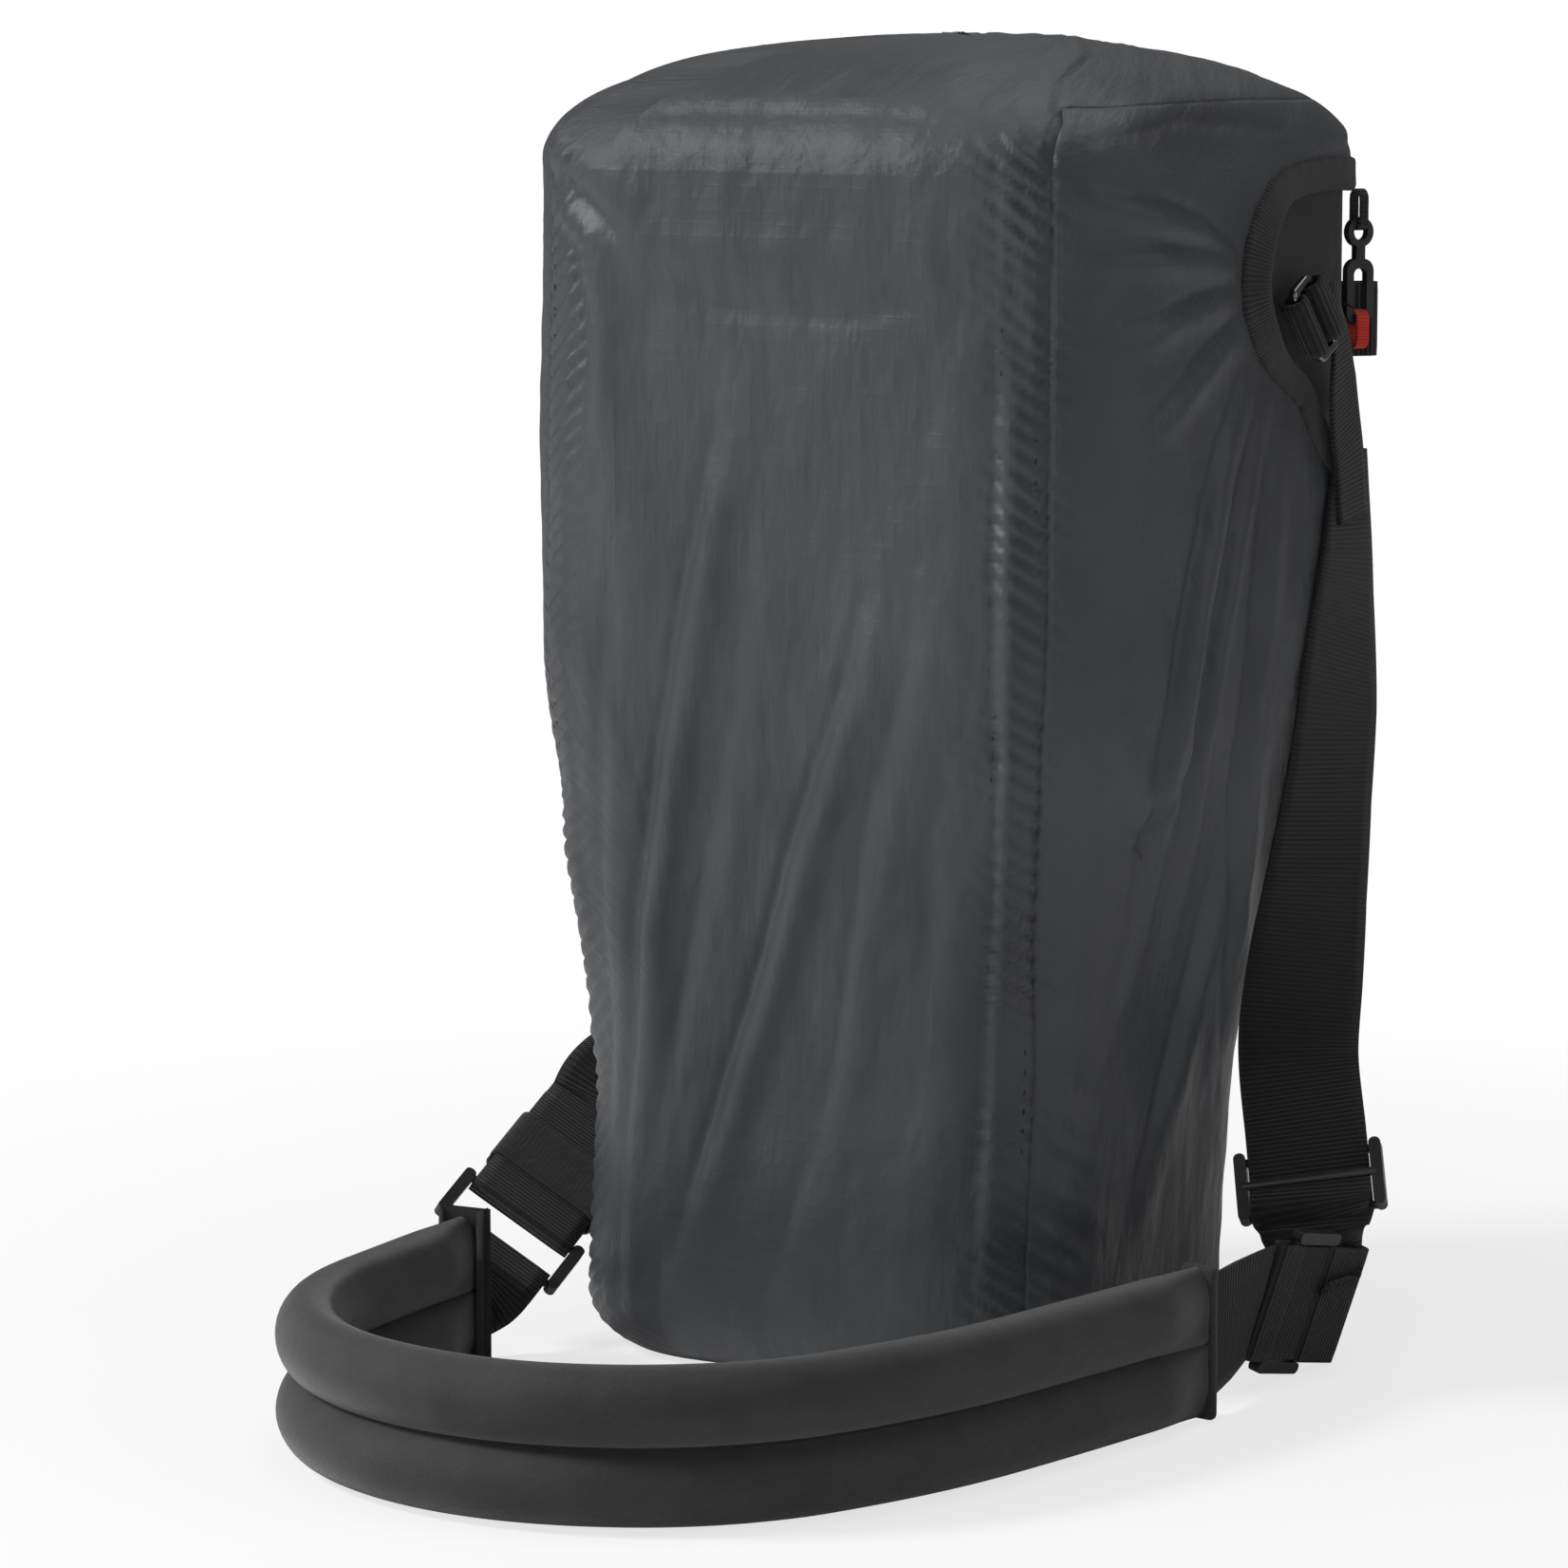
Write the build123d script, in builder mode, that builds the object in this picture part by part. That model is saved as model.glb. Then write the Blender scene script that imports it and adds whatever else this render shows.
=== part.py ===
"""Shoulder-slung rope storage bag under its weather cover.

Frame: millimetres, +Z up, +X to the bag's right, +Y to its back.
The origin is the centre of the bag's base, on the surface that it stands on.
"""

import os
from math import cos, radians, sin, sqrt

from build123d import *

os.makedirs("parts", exist_ok=True)

# ---------------------------------------------------------------- driving dimensions
# bag and cover
bag_height = 543.0  # floor to the crown of the cover
rim_width = 280.0  # outside width of the cover at its fullest, along X
base_width = 230.0  # outside width just above the base's rounded edge
depth_less = 12.0  # the bag is this much shallower (Y) than it is wide (X)
corner_radius = 62.0  # vertical corners
base_edge_radius = 25.0  # rounding where the walls meet the base
waist_height = 112.0  # the walls rise straight to here, then flare
full_height = 300.0  # the flare reaches the rim width here
shoulder_height = 492.0  # the walls turn over into the top here
lean_right = 12.0  # the filled bag leans by this much, from the floor to full_height
lean_back = 14.0
cover_wall = 1.2
cover_gap = 1.0  # between the cover and the bag inside it
bag_wall = 6.0  # foam between two fabrics
hem_height = 3.0  # the cover's hem ends this far above the floor
top_seam_height = 497.0
boot_height = 42.0  # wipe-clean boot of the bag's base
boot_floor = 4.0
board_thickness = 3.0
lid_seam_height = 470.0
back_panel_half_width = 84.0
port_radius = 33.0  # side ports of the cover, over the strap's anchors
port_tip = 47.0  # centre of the port's round end, along Y
port_height = 445.0
slot_half_width = 92.0  # rear opening of the cover
slot_bottom = 66.0
slot_corner_radius = 30.0
binding_width = 13.0
binding_thickness = 1.8

# webbing, hardware and clearances
strap_width = 50.0
webbing = 1.8  # thickness of all the webbing
lead_width = 25.0
soft_gap = 0.35  # pieces that lie on another stop this far from it
bar = 3.6  # diameter of a slider's bars
slider_pitch = 12.5  # from a slider's middle to its outer bars
slider_side = 5.0  # width of a slider's end rails
slider_side_gap = 0.6
slider_rail = 5.0
adjuster_gap = 0.25  # between the strap and the adjuster's bars
strap_fold = 22.0  # strap fold beyond the right slider
stub_fold = 10.0
tail_fold = 62.0  # doubled end of the lower strap
keeper_place = 44.0  # keeper centre, from the left slider's middle
keeper_length = 30.0
keeper_wall = 1.4
ring_wire = 3.6
ring_play = 1.4  # slack of the webbing round the ring's bars
ring_pitch = 14.0  # between the centres of the ring's long bars
anchor_length = 3.4  # straight part of the webbing that holds the ring
lead_fold_length = 7.0
strap_top_x = 156.5  # the wide strap hangs here below the port
hook_thickness = 3.6
eye_radius = 6.2
eye_hole = 3.4
hook_body_width = 13.0
hook_body_length = 27.0
hook_body_drop = 24.5  # eye centre to the middle of the hook's body
hook_opening_width = 6.4
hook_opening_length = 19.0
tape_width = 4.0  # narrow tape of the tether and of the red loop
tape_thickness = 1.0
haul_width = 31.0
haul_length = 6.0
haul_gap = 7.0

# shoulder pad, lying on edge in front of the bag
pad_width = 27.0
pad_tube_height = 31.0
pad_tube_overlap = 1.0  # the two tubes run into each other by this much
pad_skin = 2.0
pad_end_thickness = 5.0
pad_end_margin = 1.0  # the end bindings stand out by this much
floor_gap = 0.2
pad_start = (176.0, -74.0)
pad_heading = -100.0  # degrees from +X, leaving the right end
pad_first_run = 108.0
pad_bends = ((370.0, 15.5), (130.0, 150.0))  # radius, turn to the right
pad_last_run = 85.0


# ---------------------------------------------------------------- helpers
def blend_share(value, low, high):
    """Smooth 0 to 1 share of the way from low to high."""
    share = min(max((value - low) / (high - low), 0.0), 1.0)
    return share * share * (3 - 2 * share)


def wall_width(height):
    """Outside width of the cover's walls at a height."""
    return base_width + (rim_width - base_width) * blend_share(height, waist_height, full_height)


def lean(height):
    """Centre of the bag's section at a height."""
    share = blend_share(height, 0, full_height)
    return (lean_right * share, lean_back * share)


def wall_point(angle, height, out=0.0):
    """Point on a rounded rear corner, at an angle from +X, that far outside the cover."""
    centre_x, centre_y = lean(height)
    half_x = wall_width(height) / 2 - corner_radius
    half_y = half_x - depth_less / 2
    reach = corner_radius + out
    turn = radians(angle)
    side = 1 if cos(turn) > 0 else -1
    return (centre_x + side * half_x + reach * cos(turn), centre_y + half_y + reach * sin(turn), height)


def envelope_stations():
    """Height and width of the outside shape, from the base to the crown."""
    stations = []
    for height in (0.0, 2.0, 5.0, 10.0, 17.0, base_edge_radius):
        drop = base_edge_radius - height
        edge_inset = base_edge_radius - sqrt(base_edge_radius**2 - drop**2)
        stations.append((height, base_width - 2 * edge_inset))
    for height in (70.0, waist_height, 155.0, 200.0, 250.0, full_height, 400.0, shoulder_height):
        stations.append((height, wall_width(height)))
    crown = bag_height - shoulder_height
    for rise, taper in ((0.25, 0.02), (0.42, 0.065), (0.56, 0.13), (0.7, 0.25), (0.84, 0.43), (0.94, 0.66), (1, 0.88)):
        stations.append((shoulder_height + rise * crown, rim_width * (1 - taper)))
    return stations


def envelope(inset):
    """The outside shape moved inwards by inset, as one solid."""
    with BuildPart() as solid:
        for height, width in envelope_stations():
            crown_share = max((height - shoulder_height) / (bag_height - shoulder_height), 0.0)
            level = height - inset * crown_share
            wide = width - 2 * inset * (1 - 0.6 * crown_share)
            deep = wide - depth_less
            with BuildSketch(Plane.XY.offset(level)):
                with Locations(lean(height)):
                    RectangleRounded(wide, deep, min(corner_radius - inset, 0.27 * wide, 0.45 * deep))
        loft(ruled=True)
    return solid.part


def slab(low, high):
    """A wide block between two heights."""
    return Pos(0, 0, (low + high) / 2) * Box(3 * rim_width, 3 * rim_width, high - low)


def lay(point, along, across):
    """A plane at point with Y along, and X as near to across as is square to it."""
    along = Vector(*along).normalized()
    across = Vector(*across)
    across = (across - along * across.dot(along)).normalized()
    return Plane(origin=point, x_dir=across, z_dir=across.cross(along))


def local(plane, across, along, rise=0.0):
    """A point given in a plane's own directions."""
    return plane.from_local_coords((across, along, rise))


def ribbon(stations, width):
    """Webbing through stations of (point, width direction): one flat strip that may twist."""
    points = [Vector(point) for point, _ in stations]
    with BuildPart() as strip:
        for i, (_, across) in enumerate(stations):
            travel = (points[min(i + 1, len(points) - 1)] - points[max(i - 1, 0)]).normalized()
            across = Vector(across)
            across = (across - travel * across.dot(travel)).normalized()
            with BuildSketch(Plane(origin=points[i], x_dir=across, z_dir=travel)):
                Rectangle(width, webbing)
        loft(ruled=True)
    return strip.part


def fold(point, outward, across, length, width, gap, thickness):
    """A closed fold of webbing round a bar at point, running outward, with its width across."""
    plane = Plane(origin=point, x_dir=outward, z_dir=across)
    with BuildPart() as loop:
        with BuildSketch(plane):
            with Locations((length / 2, 0)):
                SlotCenterToCenter(length, gap + 2 * thickness)
                SlotCenterToCenter(length, gap, mode=Mode.SUBTRACT)
        extrude(amount=width / 2, both=True)
    return loop.part


def slider(plane, bars, rail_thickness):
    """A webbing slider in a plane: two end rails along Y, joined by round bars at (along, rise)."""
    rail_length = 2 * slider_pitch + bar + 1
    rail_place = strap_width / 2 + slider_side_gap + slider_side / 2
    with BuildPart() as frame:
        with BuildSketch(plane):
            with Locations((rail_place, 0), (-rail_place, 0)):
                RectangleRounded(slider_side, rail_length, slider_side / 2 - 0.1)
        extrude(amount=rail_thickness / 2, both=True)
        for along, rise in bars:
            with BuildSketch(Plane(origin=local(plane, 0, along, rise), x_dir=plane.y_dir, z_dir=plane.x_dir)):
                Circle(bar / 2)
            extrude(amount=rail_place, both=True)
    return frame.part


def save(part, name):
    """Labels a finished piece and writes it."""
    part.label = name
    export_step(part, f"parts/{name}.step")


# ---------------------------------------------------------------- the bag under the cover
bag_inset = cover_wall + cover_gap
outside = envelope(bag_inset)
inside = envelope(bag_inset + bag_wall)
boot_space = inside & slab(boot_floor, boot_height + 1)
boot_block = outside & slab(0, boot_height)

with BuildPart() as base_boot:
    add(boot_block)
    add(boot_space, mode=Mode.SUBTRACT)
save(base_boot.part, "base_boot")

board_block = envelope(bag_inset + bag_wall + soft_gap) & slab(boot_floor, boot_floor + board_thickness)
with BuildPart() as base_board:
    add(board_block)
save(base_board.part, "base_board")

wall_ring = (outside - inside) & slab(boot_height, lid_seam_height)
back_block = Pos(lean_right, rim_width, bag_height / 2) * Box(
    2 * back_panel_half_width, 2 * rim_width, 2 * bag_height
)

with BuildPart() as body_shell:
    add(wall_ring)
    add(back_block, mode=Mode.SUBTRACT)
save(body_shell.part, "body_shell")

with BuildPart() as back_panel:
    add(wall_ring)
    add(back_block, mode=Mode.INTERSECT)
save(back_panel.part, "back_panel")

lid_block = (outside - inside) & slab(lid_seam_height, bag_height)
with BuildPart() as lid:
    add(lid_block)
save(lid.part, "lid")

# ---------------------------------------------------------------- the weather cover
skin = (envelope(0) - envelope(cover_wall)) & slab(hem_height, bag_height + 1)


def opening_tool(grow):
    """The cover's rear opening with its two side ports, grown outwards."""
    port_profile = Plane.YZ.offset(-rim_width)
    slot_top = port_height + port_radius + grow
    slot_low = slot_bottom - grow
    with BuildPart() as tool:
        with BuildSketch(port_profile):
            with Locations((port_tip + rim_width / 2, port_height)):
                SlotOverall(rim_width + 2 * (port_radius + grow), 2 * (port_radius + grow))
        extrude(amount=2 * rim_width)
        with BuildSketch(Plane.XZ.offset(-lean_back)):
            with Locations((lean_right, (slot_top + slot_low) / 2)):
                RectangleRounded(2 * (slot_half_width + grow), slot_top - slot_low, slot_corner_radius + grow)
        extrude(amount=-rim_width)
    return tool.part


opening = opening_tool(0)
binding_reach = opening_tool(binding_width)
tape = (envelope(-binding_thickness) - envelope(0)) & binding_reach
walls = (skin & slab(hem_height, top_seam_height)) - opening
crown = (skin & slab(top_seam_height, bag_height + 1)) - opening

seam_apex = lean_back + depth_less / 2
seam_reach = 2 * rim_width
with BuildPart() as front_wedge:
    with BuildSketch():
        with BuildLine():
            Polyline(
                (lean_right, seam_apex),
                (lean_right - seam_reach, seam_apex - seam_reach),
                (lean_right + seam_reach, seam_apex - seam_reach),
                close=True,
            )
        make_face()
    extrude(amount=bag_height + 1)

with BuildPart() as cover_front_panel:
    add(walls)
    add(front_wedge.part, mode=Mode.INTERSECT)
save(cover_front_panel.part, "cover_front_panel")

side_walls = walls - front_wedge.part
for side, name in ((1, "cover_right_panel"), (-1, "cover_left_panel")):
    half = Pos(lean_right + side * rim_width, 0, bag_height / 2) * Box(2 * rim_width, 3 * rim_width, 2 * bag_height)
    with BuildPart() as cover_side_panel:
        add(side_walls)
        add(half, mode=Mode.INTERSECT)
    save(cover_side_panel.part, name)

with BuildPart() as cover_top_panel:
    add(crown)
save(cover_top_panel.part, "cover_top_panel")

with BuildPart() as cover_binding:
    add(tape)
    add(opening, mode=Mode.SUBTRACT)
save(cover_binding.part, "cover_binding")

# ---------------------------------------------------------------- shoulder pad
pad_total_height = 2 * pad_tube_height - pad_tube_overlap
pad_centre_height = floor_gap + pad_end_margin + pad_total_height / 2
tube_rise = (pad_tube_height - pad_tube_overlap) / 2
heading = radians(pad_heading)
first_direction = Vector(cos(heading), sin(heading), 0)
pad_right_end = Vector(pad_start[0], pad_start[1], pad_centre_height)

with BuildLine() as pad_path:
    first = Line(pad_right_end, pad_right_end + first_direction * pad_first_run)
    bend_a = JernArc(first @ 1, first % 1, pad_bends[0][0], -pad_bends[0][1])
    bend_b = JernArc(bend_a @ 1, bend_a % 1, pad_bends[1][0], -pad_bends[1][1])
    last = Line(bend_b @ 1, (bend_b @ 1) + (bend_b % 1) * pad_last_run)
pad_left_end = last @ 1
last_direction = last % 1
pad_section = Plane(origin=pad_right_end, x_dir=(0, 0, 1), z_dir=first_direction)
tube_places = [(tube_rise, 0), (-tube_rise, 0)]

with BuildPart() as pad_sleeve:
    with BuildSketch(pad_section):
        with Locations(*tube_places):
            Ellipse(pad_tube_height / 2, pad_width / 2)
        with Locations(*tube_places):
            Ellipse(pad_tube_height / 2 - pad_skin, pad_width / 2 - pad_skin, mode=Mode.SUBTRACT)
    sweep(path=pad_path.wire())
save(pad_sleeve.part, "pad_sleeve")

for place, name in zip(tube_places, ("pad_core_upper", "pad_core_lower")):
    inset = pad_skin + soft_gap
    with BuildPart() as pad_core:
        with BuildSketch(pad_section):
            with Locations(place):
                Ellipse(pad_tube_height / 2 - inset, pad_width / 2 - inset)
        sweep(path=pad_path.wire())
    save(pad_core.part, name)

binding_height = pad_total_height + 2 * pad_end_margin
binding_depth = pad_width + 2 * pad_end_margin
for end, out, name in (
    (pad_right_end, first_direction * -1, "pad_end_binding_right"),
    (pad_left_end, last_direction, "pad_end_binding_left"),
):
    with BuildPart() as pad_end_binding:
        with BuildSketch(Plane(origin=end, x_dir=(0, 0, 1), z_dir=out)):
            RectangleRounded(binding_height, binding_depth, 9)
            Rectangle(strap_width + 2 * soft_gap, webbing + 2 * soft_gap, mode=Mode.SUBTRACT)
        extrude(amount=pad_end_thickness)
    save(pad_end_binding.part, name)

# ---------------------------------------------------------------- right strap and its hardware
bar_gap = bar + 2 * soft_gap  # inside of a fold that goes round a bar
right_slider_plane = lay((179.0, 8.0, 32.5), (0.126, 0.974, -0.188), (0.26, 0.15, 0.953))
adjuster_centre = Vector(170, 39, 76)
strap_bend = Vector(151, 65, 124)  # the strap runs straight from here to the adjuster
adjuster_plane = lay(adjuster_centre, strap_bend - adjuster_centre, (0.814, 0.47, 0.342))
bar_rise = webbing / 2 + adjuster_gap + bar / 2

with BuildPart() as right_slider:
    add(slider(right_slider_plane, ((slider_pitch, 0), (-slider_pitch, 0)), slider_rail))
save(right_slider.part, "right_slider")

adjuster_bars = ((-slider_pitch, -bar_rise), (0, bar_rise), (slider_pitch, -bar_rise))
with BuildPart() as right_adjuster:
    add(slider(adjuster_plane, adjuster_bars, 2 * bar_rise + bar / 2))
save(right_adjuster.part, "right_adjuster")

far_bar = local(right_slider_plane, 0, slider_pitch)
right_fold = fold(far_bar, right_slider_plane.y_dir, right_slider_plane.x_dir, strap_fold, strap_width, bar_gap, webbing)
fold_tip = local(right_slider_plane, 0, slider_pitch + strap_fold + bar_gap / 2 + webbing / 2)
turn_point = fold_tip + Vector(-1.5, 0, 14)
turn_across = Vector(0.6, 0.34, 0.75)
upper_run = ribbon(
    [
        ((strap_top_x, 97, 366), (0, 1, 0)),
        ((157, 92, 314), (0, 1, 0)),
        ((160, 79, 268), (0.24, 0.97, 0)),
        ((157, 76, 228), (0.37, 0.93, 0)),
        ((153, 74, 188), (0.56, 0.83, 0)),
        ((151, 69.5, 154), (0.77, 0.64, 0.1)),
        (strap_bend, adjuster_plane.x_dir),
        (local(adjuster_plane, 0, 20), adjuster_plane.x_dir),
        (local(adjuster_plane, 0, -15), adjuster_plane.x_dir),
        (local(adjuster_plane, 0, -18), adjuster_plane.x_dir),
        (turn_point, turn_across),
        (fold_tip + Vector(0, 0, 1), right_slider_plane.x_dir),
    ],
    strap_width,
)
with BuildPart() as right_strap:
    add(upper_run)
    add(right_fold)
save(right_strap.part, "right_strap")

turn_side = Vector(0.63, -0.76, -0.16)  # square to the strap where it turns into the fold
return_top = local(adjuster_plane, 0, -bar / 2 - soft_gap, bar_rise)
return_run = ribbon(
    [
        (return_top, adjuster_plane.x_dir),
        (local(adjuster_plane, 0, -15, bar_rise), adjuster_plane.x_dir),
        (local(adjuster_plane, 0, -18, bar_rise), adjuster_plane.x_dir),
        (turn_point + turn_side * (bar_rise + 0.6) + Vector(0, 0, 3), turn_across),
    ],
    strap_width,
)
with BuildPart() as strap_return:
    add(return_run)
save(strap_return.part, "strap_return")

near_bar = local(right_slider_plane, 0, -slider_pitch)
right_stub_fold = fold(
    near_bar, -right_slider_plane.y_dir, right_slider_plane.x_dir, stub_fold, strap_width, bar_gap, webbing
)
stub_tip = local(right_slider_plane, 0, -slider_pitch - stub_fold - bar_gap / 2 - webbing * 0.6)
right_stub_run = ribbon(
    [
        (pad_right_end, (0, 0, 1)),
        (pad_right_end - first_direction * (pad_end_thickness + 1), (0, 0, 1)),
        (pad_right_end - first_direction * (pad_end_thickness + 4), (0, 0, 1)),
        ((pad_right_end + stub_tip) * 0.5 + Vector(0.8, 2, 0), (0.1, 0.06, 0.99)),
        (stub_tip, right_slider_plane.x_dir),
    ],
    strap_width,
)
with BuildPart() as pad_stub_right:
    add(right_stub_run)
    add(right_stub_fold)
save(pad_stub_right.part, "pad_stub_right")

# ---------------------------------------------------------------- left strap and its hardware
left_along = Vector(-0.075, 0.916, 0.395)
left_across = Vector(-0.766, -0.29, 0.573)
left_slider_plane = lay((-136.0, -96.0, 46.0), left_along, left_across)

with BuildPart() as left_slider:
    add(slider(left_slider_plane, ((slider_pitch, 0), (-slider_pitch, 0)), slider_rail))
save(left_slider.part, "left_slider")

left_far_bar = local(left_slider_plane, 0, slider_pitch)
left_tail = fold(
    left_far_bar, left_slider_plane.y_dir, left_slider_plane.x_dir, tail_fold, strap_width, bar_gap, webbing
)
tail_tip = local(left_slider_plane, 0, slider_pitch + tail_fold + bar_gap / 2 + webbing / 2)
strap_clear = binding_thickness + soft_gap + webbing / 2
lower_run = ribbon(
    [
        (tail_tip, left_slider_plane.x_dir),
        (tail_tip + left_slider_plane.y_dir * 12, left_slider_plane.x_dir),
        (tail_tip + left_slider_plane.y_dir * 34 + Vector(1, 0, 3), (-0.6, -0.1, 0.8)),
        (wall_point(176, 110, strap_clear + 13), (-0.4, 0, 0.9)),
        (wall_point(158, 118, strap_clear + 8), (-0.25, 0.05, 0.97)),
        (wall_point(142, 123, strap_clear + 4.5), (-0.1, 0.08, 0.99)),
        (wall_point(126, 126, strap_clear + 3), (-0.07, 0.09, 0.99)),
        (wall_point(112, 128, strap_clear + 1.5), (-0.04, 0.1, 0.99)),
        (wall_point(98, 129, strap_clear - 1.2), (-0.01, 0.11, 0.99)),
        (wall_point(92, 129, webbing), (0, 0.11, 0.99)),
    ],
    strap_width,
)
with BuildPart() as lower_strap:
    add(lower_run)
    add(left_tail)
save(lower_strap.part, "lower_strap")

left_near_bar = local(left_slider_plane, 0, -slider_pitch)
left_stub_fold = fold(
    left_near_bar, -left_slider_plane.y_dir, left_slider_plane.x_dir, stub_fold, strap_width, bar_gap, webbing
)
left_stub_tip = local(left_slider_plane, 0, -slider_pitch - stub_fold - bar_gap / 2 - webbing * 0.6)
left_stub_run = ribbon(
    [
        (pad_left_end, (0, 0, 1)),
        (pad_left_end + last_direction * (pad_end_thickness + 1), (0, 0, 1)),
        (pad_left_end + last_direction * (pad_end_thickness + 6), (0, 0, 1)),
        ((pad_left_end + left_stub_tip) * 0.5 + last_direction * 2, (-0.45, -0.17, 0.88)),
        (left_stub_tip, left_slider_plane.x_dir),
    ],
    strap_width,
)
with BuildPart() as pad_stub_left:
    add(left_stub_run)
    add(left_stub_fold)
save(pad_stub_left.part, "pad_stub_left")

keeper_plane = Plane(
    origin=local(left_slider_plane, 0, keeper_place - keeper_length / 2),
    x_dir=left_slider_plane.x_dir,
    z_dir=left_slider_plane.y_dir,
)
keeper_inner = bar_gap + 2 * webbing + 2 * soft_gap
with BuildPart() as strap_keeper:
    with BuildSketch(keeper_plane):
        RectangleRounded(strap_width + 2 * soft_gap + 2 * keeper_wall, keeper_inner + 2 * keeper_wall, 2)
        Rectangle(strap_width + 2 * soft_gap, keeper_inner, mode=Mode.SUBTRACT)
    extrude(amount=keeper_length)
save(strap_keeper.part, "strap_keeper")

# ---------------------------------------------------------------- ring, lead and anchor at the right port
wall_x = lean_right + rim_width / 2 - bag_inset  # the bag's own right wall at the port
ring_plane = lay((wall_x + 11.6, 50.0, 430.0), (0, 0.89, 0.455), (0.2, 0.45, -0.87))
with BuildPart() as anchor_ring:
    with BuildSketch(ring_plane):
        RectangleRounded(lead_width + 2 + 2 * ring_wire, ring_pitch + ring_wire, 4)
        RectangleRounded(lead_width + 2, ring_pitch - ring_wire, 2, mode=Mode.SUBTRACT)
    extrude(amount=ring_wire / 2, both=True)
    fillet(anchor_ring.edges().filter_by(GeomType.LINE).filter_by(lambda e: e.length > 8), 1.2)
save(anchor_ring.part, "anchor_ring")

ring_gap = ring_wire + 2 * ring_play
ring_near = local(ring_plane, 0, -ring_pitch / 2)
ring_far = local(ring_plane, 0, ring_pitch / 2)
anchor_pull = Vector(-0.92, 0.39, 0)  # from the ring towards the bag's wall
anchor_way = (anchor_pull - ring_plane.x_dir * anchor_pull.dot(ring_plane.x_dir)).normalized()
with BuildPart() as anchor_webbing:
    add(fold(ring_near, anchor_way, ring_plane.x_dir, anchor_length, lead_width, ring_gap, webbing))
save(anchor_webbing.part, "anchor_webbing")

lead_fold = fold(ring_far, ring_plane.y_dir, ring_plane.x_dir, lead_fold_length, lead_width, ring_gap, webbing)
lead_tip = local(ring_plane, 0, ring_pitch / 2 + lead_fold_length + ring_gap / 2 + webbing / 2)
lead_x = strap_top_x + webbing + soft_gap
lead_run = ribbon(
    [
        (lead_tip, ring_plane.x_dir),
        (Vector(lead_x + 3.5, 77, 434), (0.15, 0.1, -0.95)),
        (Vector(lead_x + 3.5, 85, 420), (0.05, -0.75, -0.6)),
        (Vector(lead_x + 2.5, 90, 404), (0, -0.95, -0.33)),
        (Vector(lead_x + 0.8, 94, 388), (0, -0.97, -0.24)),
        (Vector(lead_x, 96, 372), (0, -1, -0.1)),
        (Vector(lead_x, 97, 345), (0, -1, 0)),
    ],
    lead_width,
)
with BuildPart() as strap_lead:
    add(lead_run)
    add(lead_fold)
save(strap_lead.part, "strap_lead")

# ---------------------------------------------------------------- snap hook, its tether, red loop, haul loop
hook_plane = lay((156.9, 100.2, 463.0), (0, 0, 1), (0.5, 0.866, 0))
with BuildPart() as snap_hook:
    with BuildSketch(hook_plane):
        Circle(eye_radius)
        with Locations((0, -eye_radius - 3)):
            Rectangle(4.4, 12)
        with Locations((0, -hook_body_drop)):
            RectangleRounded(hook_body_width, hook_body_length, 5)
            RectangleRounded(hook_opening_width, hook_opening_length, 2.5, mode=Mode.SUBTRACT)
        with Locations((-hook_body_width / 2, -hook_body_drop - 5)):
            Rectangle(hook_body_width - hook_opening_width + 1, 0.8, rotation=-30, mode=Mode.SUBTRACT)
        Circle(eye_hole, mode=Mode.SUBTRACT)
    extrude(amount=hook_thickness / 2, both=True)
save(snap_hook.part, "snap_hook")

tape_gap = hook_thickness + 2.6
eye_wall = local(hook_plane, 0, (eye_radius + eye_hole) / 2)
with BuildPart() as hook_tether:
    add(fold(eye_wall, hook_plane.y_dir, hook_plane.x_dir, 9, tape_width, tape_gap, tape_thickness))
save(hook_tether.part, "hook_tether")

hook_end = local(hook_plane, 0, -hook_body_drop - (hook_body_length + hook_opening_length) / 4)
with BuildPart() as red_loop:
    add(fold(hook_end, -hook_plane.y_dir, hook_plane.x_dir, 7, tape_width, tape_gap, tape_thickness))
save(red_loop.part, "red_loop")

haul_out = haul_gap / 2 + webbing + soft_gap - bag_inset
haul_direction = Vector(cos(radians(45)), sin(radians(45)), 0)
haul_root = Vector(*wall_point(45, 431, haul_out))
haul_plane = Plane(origin=haul_root, x_dir=haul_direction, z_dir=(0, 0, 1))
with BuildPart() as haul_loop:
    with BuildSketch(haul_plane):
        with Locations((haul_length / 2, 0)):
            SlotCenterToCenter(haul_length, haul_gap + 2 * webbing)
            SlotCenterToCenter(haul_length, haul_gap, mode=Mode.SUBTRACT)
    extrude(amount=haul_width / 2, both=True)
save(haul_loop.part, "haul_loop")
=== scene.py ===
import math

import bmesh
import bpy
import numpy as np
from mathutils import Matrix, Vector, noise


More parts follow.
